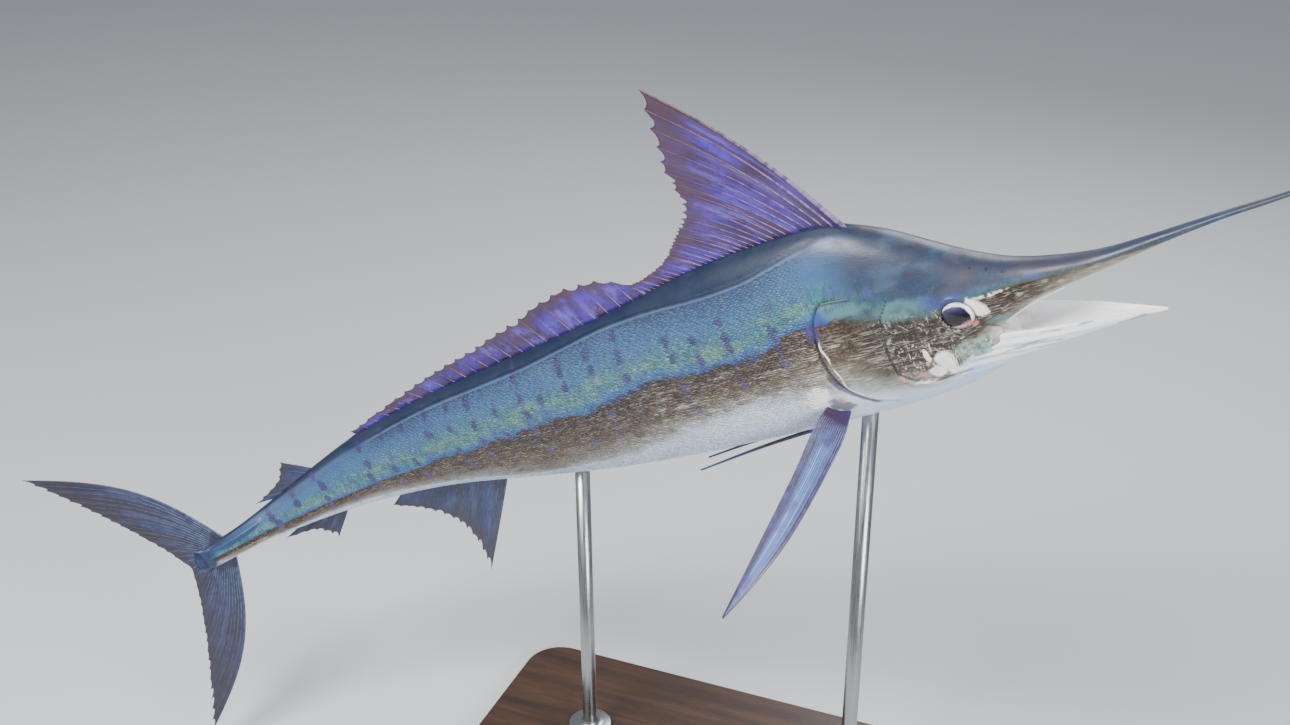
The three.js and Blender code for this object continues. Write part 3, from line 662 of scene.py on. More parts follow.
# %% [markdown]
# ## One skin
# The head, trunk, tail stock and bill are one closed surface of rings. The rings lie closer
# together on the head, and the points of a ring closer on the flanks, where the detail is. The
# lower jaw is a second closed shell of the same skin: behind the corner of the mouth it takes the
# body's own section and slips just under it, so that no joint shows at the throat.

# %% Skin
SKIN_INSET = 1.0
SKIN_AROUND = 160
TAIL_PLATE = 31.5


def girth_angles(count):
    """Angles round a ring, closest together on the two flanks."""
    fine = np.linspace(0, 2 * np.pi, 2000, endpoint=False)
    weight = 1 + hump(fine - np.radians(100), 0.62) + hump(fine - np.radians(260), 0.62)
    reach = np.concatenate([[0], np.cumsum(weight)])
    return np.interp(np.arange(count) / count * reach[-1], reach, np.append(fine, 2 * np.pi))


def skin_stations():
    """Where the rings stand along the fish."""
    tail = np.arange(FORK_X - TAIL_PLATE, -860, 4.5)
    trunk = np.arange(-860, 470, 6.6)
    head = np.arange(470, 905, 2.25)
    return np.concatenate([tail, trunk, head, np.linspace(905, BILL_TIP_X, 84)])


def skin_shape(x):
    """How square the section is at x, above and below."""
    head = ease((x - HEAD_FROM_X) / (JAW_FROM_X - HEAD_FROM_X))
    bill = ease((x - 880) / 60)
    return tuple(
        mix(mix(trunk, snout, head), end, bill) for trunk, snout, end in zip(*SHAPES.values()))


def pushed_out(p, centre_z, amount):
    """Moves points out from the middle line of their section."""
    out = np.stack([np.zeros(p.shape[:-1]), p[..., 1] * 1.3, p[..., 2] - centre_z], -1)
    out /= np.maximum(np.linalg.norm(out, axis=-1, keepdims=True), 1e-6)
    return p + out * amount[..., None]


def body_shell():
    """The rings of head, trunk, tail stock and bill, with their relief and keels."""
    x = skin_stations()[:, None]
    angle = girth_angles(SKIN_AROUND)[None, :]
    low = np.where(x < JAW_FROM_X - 2.5, belly(x), upper_jaw(np.maximum(x, JAW_FROM_X)))
    inset = -SKIN_INSET * ease((1200 - x) / 300)
    p = section(x, angle, low, inset, skin_shape(np.broadcast_to(x, (x.shape[0], angle.shape[1]))))
    p = pushed_out(p, widest_z(p[..., 0]), relief(p[..., 0], p[..., 1], p[..., 2]))
    p[..., 1] += np.sign(p[..., 1]) * keels(p[..., 0], p[..., 2])
    beyond = np.clip((FORK_X - p[..., 0]) / TAIL_PLATE, 0, 1)
    rounded = np.sqrt(np.clip(1 - np.clip(beyond * 1.9 - 0.92, 0, 1) ** 2, 0.01, 1))
    p[..., 1] *= mix(1, 0.12, beyond ** 0.7)
    p[..., 2] *= mix(1, 1.3, ease(beyond)) * rounded
    return p


body_points, body_faces = loft(body_shell())
print("the body's shell has", len(body_faces), "faces")

# %% Lower jaw
JAW_OUTER, JAW_INNER = 76, 36
JAW_WALL, JAW_ROUND, JAW_ROLL = 0.16, 0.86, 0.15


def jaw_shell():
    """The lower jaw's rings: under it from rim to rim, then back through its hollow."""
    x = np.concatenate([np.arange(652, 700, 3.0), np.arange(700, JAW_TIP_X, 2.8), [JAW_TIP_X]])
    x = x[:, None]
    rim, low, wide = jaw_rim(x), jaw_below(x), jaw_half_width(x)
    a = np.linspace(0, np.pi, JAW_OUTER)[None, :]
    own = np.stack(np.broadcast_arrays(
        x, -wide * np.sign(np.cos(a)) * np.abs(np.cos(a)) ** JAW_ROUND,
        rim - (rim - low) * np.sin(a) ** JAW_ROUND), -1)
    shape = skin_shape(x)
    deep = np.clip((widest_z(x) - rim) / (widest_z(x) - low), 0.02, 0.98)
    start = np.pi - np.arccos(deep ** (shape[1] / 2))
    angle = start + (2 * np.pi - 2 * start) * np.linspace(0, 1, JAW_OUTER)[None, :]
    like_body = section(np.broadcast_to(x, angle.shape), angle, low, -SKIN_INSET,
                        tuple(np.broadcast_to(s, angle.shape) for s in shape))
    outer = mix(like_body, own, ease((x - 690) / 90)[..., None])
    inside = wide * (1 - JAW_WALL)
    b = np.pi - np.linspace(0, np.pi, JAW_INNER)[None, :]
    floor_z = rim - jaw_hollow(x) * np.sin(b) - 1.5 * ease((760 - x) / 60)
    inner = np.stack(np.broadcast_arrays(x, -inside * np.cos(b), floor_z), -1)
    folds = 1.1 * np.sin(outer[..., 2] * 0.42 + x * 0.03) * between(x, 640, 960, 60, 80)
    sunk = -2.2 * ease((697 - x) / 12)
    outer = pushed_out(outer, rim + 10, (folds * ease((rim - outer[..., 2]) / 14) + sunk))
    ring = np.concatenate([outer, inner], axis=1)
    opened = ease((x - JAW_FROM_X) / (CORNER_X - JAW_FROM_X))
    ring[..., 2] += JAW_ROLL * opened * (ring[..., 1] + wide)
    return ring


jaw_rings = jaw_shell()
jaw_points, jaw_faces = loft(jaw_rings)
inside_jaw = np.zeros(jaw_rings.shape[:2])
inside_jaw[:, JAW_OUTER:] = 1
skin_points, skin_faces = joined([(body_points, body_faces), (jaw_points, jaw_faces)])
jaw_share = np.concatenate([np.zeros(len(body_points)), np.ones(len(jaw_points))])
mouth_share = np.concatenate([np.zeros(len(body_points)), inside_jaw.ravel(), [0, 0]])
print("the skin has", len(skin_points), "points")

# %% [markdown]
# ## The marks on the skin
# Violet spots stand in upright bars on the flank. White bone shows through at the cheek and
# beside the fin's root, and a painted highlight ahead of the eye. There is flesh at the corner of
# the mouth, dark flecks on the head, and painted shade in its nostrils, folds and grooves.
# Each mark is first worked out as a soft field on every vertex. The materials then give it a
# torn edge with fine noise, so that it looks sharp though the mesh is coarse.

# %% Marks
BARS = [
    (410, [(53, 16), (-7, 8)]), (318, [(93, 9), (55, 19), (-27, 9)]), (257, [(73, 11), (36, 13)]),
    (202, [(83, 10), (54, 11), (-12, 8), (-60, 8)]), (95, [(115, 10), (76, 17), (38, 9)]),
    (29, [(99, 12), (72, 10), (-21, 9)]), (-41, [(92, 18), (54, 9), (-72, 10)]), (-102, [(46, 9)]),
    (-153, [(100, 18), (58, 8), (22, 11), (-14, 8), (-62, 9)]), (-220, [(45, 10), (-6, 8)]),
    (-284, [(78, 18), (31, 11), (-8, 9), (-48, 8)]), (-405, [(82, 13), (36, 8)])]
REAR_BARS, REAR_LEVELS = range(-345, -900, -62), (0.75, 0.35, -0.1, -0.45)
BAR_PLACES = [bar_x for bar_x, column in BARS] + list(REAR_BARS)
LEFT_SHIFT = 9
spot_chance = np.random.default_rng(3)
spots = [
    (x + 3 * k, z, 9.5, 1.25 * tall) for x, column in BARS for k, (z, tall) in enumerate(column)]
for bar_x in REAR_BARS:
    for level in REAR_LEVELS:
        if spot_chance.random() < 0.75:
            spot_z = level * float(back(bar_x)) + spot_chance.uniform(-5, 5)
            spot_x = bar_x + spot_chance.uniform(-7, 7)
            spots.append((spot_x, spot_z, 8.5, spot_chance.uniform(9, 17)))
print(len(spots), "spots on each flank")

# %% Marks on every vertex
# Oval marks: x, z, half width and half height, in mm.
OVALS = {
    # The white marks are bone, except the two ahead of the eye, at x 752 and 764: a painted
    # highlight.
    "bone_and_highlight": [(664, -84, 16, 14), (682, -66, 20, 20), (690, -84, 12, 16), (446, -80, 24, 17),
             (436, -102, 26, 20), (752, 18, 13, 14), (764, 4, 13, 14), (700, -94, 20, 9),
             (655, -50, 5, 16), (640, -100, 22, 5)],
    "flush": [(777, -50, 15, 12), (748, -14, 9, 7), (484, -100, 12, 9), (600, -84, 10, 8),
              (640, -84, 12, 7)],
    # Of the dark marks, the two at x 776 and 786 fill the nostril pits with painted shade.
    "dark": [(785, 63, 2.6, 2.6), (809, 52, 1.9, 1.9), (776, 26, 3.4, 3.4), (786, 27, 3.4, 3.4),
             (760, 72, 1.5, 1.5)],
    "rust": [(830, 41, 14, 3), (852, 51, 16, 3), (734, 94, 16, 9), (668, 92, 26, 4),
             (712, 60, 18, 3), (702, -37, 10, 8), (790, 16, 12, 6)],
    "violet": [(706, 34, 15, 9), (722, 42, 22, 6), (500, 62, 14, 16), (478, 40, 16, 20)],
    "teal": [(636, 42, 46, 20), (545, 62, 42, 12), (790, -22, 26, 8)],
    "plate": [(726, -60, 30, 17), (758, -54, 22, 13)],
    "flap": [(468, -108, 27, 15), (486, -117, 19, 13)]}


def blots(x, z, places):
    """The strongest of several soft oval marks: each is x, z, half width and half height."""
    best = np.zeros(np.shape(x))
    for px, pz, wide, tall in places:
        lean = (z - pz) * 0.10
        best = np.maximum(best, np.exp(-((x - px + lean) / wide) ** 2 - ((z - pz) / tall) ** 2))
    return best


def marks(p):
    """Every field that the skin's colours read, for straight points in mm."""
    x, y, z = p[..., 0], np.abs(p[..., 1]), p[..., 2]
    fields = {key: blots(x, z, ovals) for key, ovals in OVALS.items()}
    streak = hump(z - (28 + 2 * np.sin(x / 26)), 5) * between(x, 738, 850, 24, 70)
    lip = hump(distance_to(x, z, LIP), 3.6) * ease((x - 775) / 30)
    fields["bone_and_highlight"] = np.maximum.reduce([fields["bone_and_highlight"], 0.62 * streak, 0.7 * lip])
    from_gill = distance_to(x, z, GILL_EDGE)
    # The lines are painted shade: dark along the cheek groove, the rear of the maxilla and the gill
    # slit.
    fields["lines"] = np.maximum.reduce([
        0.9 * hump(distance_to(x, z, CHEEK_GROOVE), 3.0),
        0.7 * hump(distance_to(x, z, MAXILLA_REAR), 2.2),
        hump(from_gill, 6.0) * ease((566 - x) / 30)])
    behind = hump(from_gill * (x < 560) - 7, 5.5) * ease((-36 - z) / 24) * ease((560 - x) / 30)
    fields["flap"] = np.maximum(behind, fields["flap"])
    fields["cheek"] = between(x, 560, 740, 60, 40) * between(z, -96, 70, 20, 40)
    moved = x + LEFT_SHIFT * (p[..., 1] > 0)
    fields["spot"] = blots(moved, z, spots)
    flank = ease(y / 14)
    fields = {key: field * flank for key, field in fields.items()}
    bars = np.maximum.reduce([hump(moved - b - 0.06 * z, 6.5) for b in BAR_PLACES])
    bars = bars * ease((z + 118) / 40) * ease((fold_line(x) - 4 - z) / 30) * ease((455 - x) / 20)
    return {**fields, "bars": bars, "zone": zone_of(p), "fold": (z - fold_line(x)) / 10}


skin_marks = marks(skin_points)
skin_marks.update({"jaw": jaw_share, "mouth": mouth_share})
print("each point keeps", len(skin_marks), "fields")

# %% [markdown]
# ## The colours of the skin
# From the back down a striped marlin is slate blue, then turquoise with yellow green in it, then
# bronze with rows of pale scales, then silver white. The head is greyer, with a brown cheek that
# is scratched white. Every edge is torn by noise stretched along the fish, and the bronze is
# streaked lengthwise where the long scales lie.

# %% Ground colours of the skin
TRUNK_COLOURS = [
    (0.0, "18243a"), (0.2, "1d2a42"), (0.262, "35496c"), (0.33, "3e5f86"), (0.40, "406c80"),
    (0.445, "477676"), (0.475, "396d90"), (0.497, "35588a"), (0.512, "33231c"), (0.58, "3a2a20"),
    (0.66, "544537"), (0.73, "8d8880"), (0.80, "cfdae6"), (1.0, "dfeaf8")]
HEAD_COLOURS = [
    (0.0, "262d40"), (0.25, "2c3447"), (0.40, "343e54"), (0.465, "3b5566"), (0.505, "4a544c"),
    (0.53, "2c2119"), (0.62, "32271e"), (0.70, "4c4034"), (0.76, "a8a49c"), (0.84, "cbdae8"),
    (1.0, "bcd3ee")]
BILL_COLOURS = [
    (0.0, "2a3144"), (0.40, "323b50"), (0.52, "4c4a46"), (0.66, "857b6b"), (0.8, "a99b88"),
    (1.0, "988a78")]


def torn_level(f):
    """How far down the flank a point is, from 0 on the ridge to 1 on the belly, torn by noise."""
    torn = f.wobble(0.5, 14, 5, (0.6, 1, 1.5))
    frayed = f.wobble(0.24, 150, 3, (0.5, 1, 1.2))
    return f.math("DIVIDE", f.plus(f.plus(f.value("zone"), torn), frayed), 4.0)


def ground(f, x, level):
    """The ramps of trunk, head and bill, some clouds, and the dusky end of the tail stock."""
    trunk, head = f.ramp(level, TRUNK_COLOURS), f.ramp(level, HEAD_COLOURS)
    colour = f.coat(trunk, head, f.step(x, 0.50, 0.60))
    colour = f.coat(colour, f.ramp(level, BILL_COLOURS), f.step(x, 0.82, 0.95))
    clouds = f.step(f.noise(9, 4, (0.6, 1, 1.2), shift=(2, 8, 1)), 0.35, 0.7)
    colour = f.blend(f.times(clouds, 0.22), colour, "8aa4c0", "SOFT_LIGHT")
    dusk_blue = f.blend(f.step(f.noise(50, 4, (1, 1, 0.5)), 0.4, 0.6), "1d2340", "303a60")
    return f.coat(colour, dusk_blue, f.step(f.plus(x, f.wobble(0.03, 60, 3)), -0.968, -1.004))


print("the trunk has", len(TRUNK_COLOURS), "colours from back to belly")

# %% Turquoise, bronze and silver


def turquoise(f, colour, x, level):
    """Yellow green shimmer, and the fine upright weave of the turquoise band."""
    ahead_of_tail = f.step(x, -0.995, -0.96)
    band = f.times(f.step(level, 0.33, 0.42), f.step(level, 0.505, 0.48), ahead_of_tail)
    glow = f.times(f.step(level, 0.36, 0.43), f.step(level, 0.50, 0.455), ahead_of_tail)
    mottle = f.step(f.noise(34, 5, (0.7, 1, 1.1), 0.65), 0.44, 0.62)
    colour = f.coat(colour, "78977a", glow, mottle, f.step(x, 0.44, 0.54, 1.0, 0.0), 0.46)
    weave = f.step(f.noise(330, 2, (1.0, 0.2, 0.16)), 0.46, 0.62)
    colour = f.coat(colour, "22404f", weave, band, 0.55)
    specks = f.step(f.noise(210, 3), 0.58, 0.68)
    colour = f.coat(colour, "8aa9a4", specks, band, f.step(x, 0.46, 0.58, 0.5, 0.12))
    violet_mist = f.step(f.noise(24, 4, shift=(3, 1, 7)), 0.53, 0.68)
    return f.coat(colour, "474a8e", violet_mist, band, 0.5)


def bronze(f, colour, x, level):
    """Pale rows of long scales in front, grains further back, and dusk over both."""
    band = f.times(f.step(level, 0.5, 0.53), f.step(level, 0.80, 0.72), f.step(x, -0.995, -0.96))
    rows = f.step(f.noise(520, 4, (0.035, 0.5, 1.0), 0.62), 0.50, 0.62)
    gaps = f.step(f.noise(30, 3, (0.6, 1, 1.4), shift=(6, 2, 2)), 0.38, 0.56)
    in_front, low = f.step(x, -0.05, 0.2, 0.2, 1.0), f.step(level, 0.515, 0.60, 0.15, 0.8)
    colour = f.coat(
        colour, "c9c4b8", rows, gaps, in_front, band, low, f.step(x, 0.50, 0.56, 1.0, 0.6))
    grains = f.step(f.noise(300, 3, (0.7, 1, 0.7)), 0.50, 0.62)
    colour = f.coat(colour, "867b62", grains, f.step(x, 0.46, 0.58, 0.5, 0.12), band)
    dusk = f.step(f.noise(45, 5, (0.5, 1, 1), 0.6), 0.52, 0.66)
    return f.coat(colour, "2e231c", dusk, band, 0.5)


def silver(f, colour, level):
    """Grey smudges on the white belly."""
    smudge = f.step(f.noise(26, 4, (0.35, 1, 1)), 0.50, 0.72)
    return f.coat(colour, "94a4bb", smudge, f.step(level, 0.74, 0.84), 0.4)


print("bands of turquoise, bronze and silver")

# %% Spots, bars, and painted shade and highlight along the fold
# Painted shade and highlight along the fold by the dorsal fin: a pale highlight line on its ridge
# and a dark shade line above and below it. Place, half width, inner half width, share and colour.
FOLD_SHADE_AND_HIGHLIGHT = [
    (0.35, 0.26, 0.08, 0.80, "141d2c"), (-0.12, 0.18, 0.04, 0.18, "8ba0b8"),
    (-0.55, 0.20, 0.05, 0.35, "1a2a42")]


def spots_and_bars(f, colour, level):
    spot = f.step(f.plus(f.value("spot"), f.wobble(1.1, 90, 4)), 0.36, 0.66)
    lilac = f.blend(f.step(level, 0.47, 0.52), "342859", "57487c")
    colour = f.coat(colour, lilac, spot, f.step(level, 0.48, 0.54, 0.78, 0.5))
    broken = f.step(f.noise(48, 5, (1, 1, 0.4), 0.65), 0.46, 0.60)
    return f.coat(
        colour, "453b78", f.value("bars"), broken, f.step(level, 0.48, 0.54, 0.55, 0.28))


def fold_shade_and_highlight(f, colour, x):
    fold = f.value("fold")
    along_back = f.times(f.step(x, -0.62, -0.5), f.step(x, 0.545, 0.44))
    # Paints the dark shade lines and the pale highlight line along the fold.
    for middle, wide, narrow, share, code in FOLD_SHADE_AND_HIGHLIGHT:
        away = f.math("ABSOLUTE", f.math("SUBTRACT", fold, middle))
        colour = f.coat(colour, code, f.step(away, wide, narrow), along_back, share)
    return colour


print(len(FOLD_SHADE_AND_HIGHLIGHT), "stripes along the fold")

# %% Marks of the head


def edged(f, name, low, high, scale, amount):
    """A kept field as a mark with a torn edge."""
    ragged = f.wobble(amount, scale, 4, shift=(low, 2, 5))
    return f.step(f.plus(f.value(name), ragged), low, high)


def head_films(f, colour, x, level):
    """A brown film and a blue sheen over the head."""
    on_head = f.step(x, 0.50, 0.62)
    film = f.step(f.noise(16, 5, (0.8, 1, 1), 0.62, shift=(7, 3, 3)), 0.48, 0.66)
    colour = f.coat(colour, "4c4046", film, on_head, f.step(level, 0.47, 0.40, 0.0, 0.42))
    sheen = f.step(f.noise(22, 4, (0.5, 1, 1), shift=(1, 8, 6)), 0.52, 0.68)
    return f.coat(colour, "5f86a4", sheen, on_head, f.step(level, 0.50, 0.44, 0.0, 0.17))


def head_plates(f, colour):
    """Turquoise plates with dark veins and gold, then rust and violet blushes and the flap."""
    colour = f.coat(colour, "567f80", edged(f, "teal", 0.2, 0.8, 60, 0.9), 0.75)
    colour = f.coat(colour, "869c96", edged(f, "plate", 0.2, 0.6, 60, 0.5), 0.85)
    jaw_joint = f.value("plate")
    veins = f.step(f.noise(110, 5, (0.7, 1, 1.2), 0.7), 0.50, 0.58)
    colour = f.coat(colour, "2f4a4c", veins, jaw_joint, 0.85)
    gold = f.step(f.noise(190, 4, (0.8, 1, 1), 0.6, shift=(3, 3, 8)), 0.56, 0.64)
    colour = f.coat(colour, "d8d6a8", gold, jaw_joint, 0.8)
    colour = f.coat(colour, "4b3034", edged(f, "rust", 0.35, 0.8, 120, 1.3), 0.38)
    colour = f.coat(colour, "3c3f8c", edged(f, "violet", 0.2, 0.8, 80, 1.0), 0.55)
    flap = f.blend(f.step(f.noise(60, 4, shift=(2, 2, 9)), 0.4, 0.6), "4f3830", "443a6c")
    return f.coat(colour, flap, edged(f, "flap", 0.3, 0.7, 90, 0.8), 0.8)


def scratches(f, colour, level):
    """White scratches both ways and flecks on the brown cheek, and darker blotches."""
    cheek = f.value("cheek")
    turned = f.node("ShaderNodeMapping", Vector=f.on_fish(), Rotation=(0.0, 0.8, 0.0)).outputs[0]
    upright = f.step(f.noise(190, 4, (1.5, 1, 0.14), 0.6), 0.585, 0.65)
    slanted = f.step(f.noise(210, 4, (1.6, 1, 0.10), 0.6, turned), 0.60, 0.66)
    scratch = f.times(f.math("MAXIMUM", upright, slanted), f.step(f.noise(55, 3), 0.44, 0.58))
    fleck = f.step(f.noise(230, 4, (0.8, 1, 0.7), 0.6), 0.57, 0.66)
    pale_patch = f.step(f.noise(20, 3, shift=(5, 5, 1)), 0.40, 0.60, 0.35, 1.0)
    colour = f.coat(colour, "e2ded8", f.math("MAXIMUM", scratch, fleck), pale_patch, cheek,
                    f.step(level, 0.475, 0.53), 0.9)
    blotch = f.step(f.noise(40, 4, shift=(1, 9, 4)), 0.50, 0.64)
    return f.coat(colour, "2c241c", blotch, cheek, 0.4)


def bone_highlight_and_flesh(f, colour):
    """White bone, a painted highlight, cracks, flesh, dark flecks, painted shade in nostrils and
    grooves.
    """
    # White bone, and ahead of the eye a painted highlight.
    colour = f.coat(colour, "f6f3ee", edged(f, "bone_and_highlight", 0.34, 0.66, 95, 0.8), 0.94)
    cracks = f.step(f.cracks(42, (0.6, 1, 1.3)), 0.05, 0.01)
    colour = f.coat(colour, "8d8a88", cracks, f.step(f.value("bone_and_highlight"), 0.3, 0.6), 0.25)
    colour = f.coat(colour, "c98f80", edged(f, "flush", 0.35, 0.8, 130, 0.9), 0.6)
    # Dark flecks, and painted shade in the two nostril pits.
    colour = f.coat(colour, "1c1618", f.step(f.value("dark"), 0.3, 0.6), 0.8)
    # Painted shade along the grooves between the plates and along the gill slit.
    return f.coat(colour, "1e2632", edged(f, "lines", 0.35, 0.8, 200, 0.3), 0.7)


print("marks of the head are ready")

# %% Skin finish and skin


def jaw_colour(f, colour, x, z):
    """The lower jaw over the body's colours: white, grey folds, painted shade below, pale flesh
    inside.
    """
    folds = f.step(f.noise(95, 4, (0.09, 0.6, 1.1), 0.6), 0.52, 0.64)
    white = f.coat("f8fafa", "5f7799", folds, 0.72)
    # Painted shade: bluer and darker on the underside of the lower jaw.
    white = f.coat(white, "86aedd", f.step(z, -0.082, -0.120), 0.7)
    colour = f.coat(colour, white, f.value("jaw"), f.step(x, 0.69, 0.77))
    flesh = f.coat("faeadf", "d6ac97", f.step(f.noise(45, 4), 0.4, 0.7))
    flesh = f.coat(flesh, "fffcf8", f.step(x, 0.78, 0.86))
    return f.coat(colour, flesh, f.value("mouth"))


def skin_finish():
    f = Finish("marlin_skin", 0.40, Coat_Weight=0.12, Coat_Roughness=0.2, Specular_IOR_Level=0.36)
    x, _, z = f.straight()
    level = torn_level(f)
    colour = ground(f, x, level)
    colour = turquoise(f, colour, x, level)
    colour = bronze(f, colour, x, level)
    colour = silver(f, colour, level)
    colour = spots_and_bars(f, colour, level)
    colour = fold_shade_and_highlight(f, colour, x)
    colour = head_films(f, colour, x, level)
    colour = head_plates(f, colour)
    colour = scratches(f, colour, level)
    colour = bone_highlight_and_flesh(f, colour)
    colour = jaw_colour(f, colour, x, z)
    colour = f.blend(f.times(f.value("scale"), 0.14), colour, "97a3b0", "SCREEN")
    wrinkles = f.times(f.noise(90, 4, (0.5, 1, 1)), f.plus(f.value("cheek"), 0.35))
    height = f.plus(f.times(f.noise(520, 3, (0.35, 1, 1)), 0.5), wrinkles)
    rough = f.step(f.noise(36, 4, (0.6, 1, 1)), 0.35, 0.7, 0.34, 0.54)
    return f.done(colour, rough, height, 0.0012, 0.55)


skin_material = skin_finish()
mesh_piece("skin", skin_points, skin_faces, skin_material,
           ("head", "bill", "lower_jaw", "chest", "flank", "tail_stock"), skin_marks)

# %% [markdown]
# ## Scales
# A marlin's scales are long bony splinters that lie in the skin, point backwards and overlap like
# thatch. They repeat by the thousand, so Geometry Nodes make them: one splinter, a sphere of few
# faces stretched long, is set on every point of a bed laid over the flank. The bed's points carry
# the skin's own marks, so spots and bands run on over skin and scales alike. Each splinter is
# sunk by half, and turned to lie along the flank with its rear end lifted.

# %% Scale maker in Geometry Nodes


def scale_tree():
    """A splinter on every point, turned and sized by what the point keeps."""
    tree = new_tree("scales_on_points", [
        ("Length", "Float", 0.02), ("Width", "Float", 0.003), ("Thickness", "Float", 0.001),
        ("Material", "Material", None)])
    vector = {"data_type": "FLOAT_VECTOR"}
    given, result = add_node(tree, "NodeGroupInput"), add_node(tree, "NodeGroupOutput")
    ball = add_node(tree, "GeometryNodeMeshUVSphere", Segments=6, Rings=2, Radius=0.5)
    upright = add_node(tree, "GeometryNodeTransform", Rotation=(0, math.pi / 2, 0))
    where = add_node(tree, "GeometryNodeInputPosition")
    spot_on = add_node(tree, "GeometryNodeStoreNamedAttribute", vector, Name="splinter")
    lie = add_node(tree, "GeometryNodeInputNamedAttribute", vector, Name="lie")
    grown = add_node(tree, "GeometryNodeInputNamedAttribute", {"data_type": "FLOAT"}, Name="grown")
    size = add_node(tree, "ShaderNodeCombineXYZ")
    sized = add_node(tree, "ShaderNodeVectorMath", {"operation": "SCALE"})
    set_on = add_node(tree, "GeometryNodeInstanceOnPoints")
    real = add_node(tree, "GeometryNodeRealizeInstances")
    finish = add_node(tree, "GeometryNodeSetMaterial")
    wire(tree,
         (ball, "Mesh", upright, "Geometry"), (upright, "Geometry", spot_on, "Geometry"),
         (where, "Position", spot_on, "Value"), (spot_on, "Geometry", set_on, "Instance"),
         (given, "Geometry", set_on, "Points"), (given, "Length", size, "X"),
         (given, "Width", size, "Y"), (given, "Thickness", size, "Z"),
         (size, "Vector", sized, 0), (grown, "Attribute", sized, "Scale"),
         (sized, "Vector", set_on, "Scale"), (lie, "Attribute", set_on, "Rotation"),
         (set_on, "Instances", real, "Geometry"), (real, "Geometry", finish, "Geometry"),
         (given, "Material", finish, "Material"), (finish, "Geometry", result, "Geometry"))
    return tree


SCALE_TREE = scale_tree()
print("the scale maker has", len(SCALE_TREE.nodes), "nodes")

# %% Beds of scales
SCALE_STEP, SCALE_ROW, SCALE_FROM, SCALE_TO = 9.4, 4.4, -930, 486
SCALE_LIFT, SCALE_TURN, BED_LIFT = 0.045, 0.09, 0.1 * MM
GILL_NEAR, GILL_BARE, PECTORAL_BARE = 455, 14, 46


def unit(v):
    """Each vector at a length of 1."""
    v = np.asarray(v, float)
    return v / np.linalg.norm(v, axis=-1, keepdims=True)


def on_trunk(x, angle):
    """Straight points of the trunk's skin, lifted like it, for arrays of x and angle."""
    p = section(x, angle, belly(x), -SKIN_INSET, skin_shape(x))
    return pushed_out(p, widest_z(x), relief(p[..., 0], p[..., 1], p[..., 2]))


def scale_rows(pick):
    """x and angle of every scale on the right flank, in rows set half a step apart."""
    fine = np.linspace(0.02, np.pi - 0.02, 300)
    xs, angles = [], []
    for k, x in enumerate(np.arange(SCALE_FROM, SCALE_TO, SCALE_STEP / 2)):
        ring = section(x, fine, belly(x))
        run = np.append(0, np.cumsum(np.linalg.norm(np.diff(ring, axis=0), axis=1)))
        at = np.arange(SCALE_ROW * (0.5 + 0.5 * (k % 2)) * 2, run[-1], SCALE_ROW * 2)
        angles.append(np.interp(at + pick.uniform(-0.8, 0.8, len(at)), run, fine))
        xs.append(x + pick.uniform(-2.2, 2.2, len(at)))
    return np.concatenate(xs), np.concatenate(angles)


def scale_bed(side, pick):
    """x, angle and growth of the scales on one flank, which leave the gills and fins bare."""
    x, angle = scale_rows(pick)
    p = section(x, angle, belly(x))
    y, z = np.abs(p[:, 1]), p[:, 2]
    edge = distance_to(x, z, GILL_EDGE)
    keep = (z < fold_line(x) - 3) & (y > 5) & (pick.random(len(x)) > 0.06)
    keep &= (x < GILL_NEAR) | ((edge > GILL_BARE) & (x < 480)) | ((z > 92) & (x < SCALE_TO))
    keep &= np.hypot(x - PECTORAL_ROOT[0], (z - PECTORAL_ROOT[1]) * 1.2) > PECTORAL_BARE
    grown = np.clip((back(x) - belly(x)) / 250, 0.45, 1.05) * pick.uniform(0.8, 1.12, len(x))
    grown *= ease((SCALE_TO - x) / 40) * 0.4 + 0.6
    angle = angle if side < 0 else 2 * np.pi - angle
    return x[keep], angle[keep], grown[keep]


def lie_of(x, angle, root, pick):
    """Which way is up from the skin at each scale, and the scale's turn as three angles."""
    along = unit(place(on_trunk(x - 3, angle)) - place(root))
    up = unit(np.cross(along, place(on_trunk(x, angle + 0.01)) - place(root)))
    outward = place(pushed_out(root, widest_z(x), np.ones(len(x)))) - place(root)
    up *= np.sign((up * outward).sum(axis=1, keepdims=True))
    aside = np.cross(up, along) * pick.uniform(-SCALE_TURN, SCALE_TURN, (len(x), 1))
    along = unit(along + SCALE_LIFT * up + aside)
    across = unit(np.cross(up, along))
    turns = np.stack([along, across, np.cross(along, across)], -1)
    return up, np.array([Matrix(turn.tolist()).to_euler() for turn in turns])


print("a row of scales stands every", SCALE_STEP / 2, "mm")

# %% Scales
SCALE_LONG, SCALE_WIDE, SCALE_THICK, PATCH = 19.0, 3.3, 1.1, 0.003


def bake_map(mesh):
    """A map where each scale is a small patch at its root's place on the unwrapped trunk."""
    read = {}
    for key, width, kind in (
            ("straight", 3, "vector"), ("splinter", 3, "vector"), ("girth", 1, "value")):
        values = np.empty(len(mesh.vertices) * width, np.float32)
        mesh.attributes[key].data.foreach_get(kind, values)
        read[key] = values.reshape(-1, width)
    small = read["splinter"]
    uv = np.stack([
        0.05 + 0.9 * (read["straight"][:, 0] + 1.0) / 1.5 + PATCH * small[:, 0],
        0.05 + 0.9 * read["girth"][:, 0] + PATCH * small[:, 1]], -1)
    corner = np.empty(len(mesh.loops), np.int32)
    mesh.loops.foreach_get("vertex_index", corner)
    mesh.uv_layers.new(name="OFBake").data.foreach_set("uv", uv[corner].astype(np.float32).ravel())


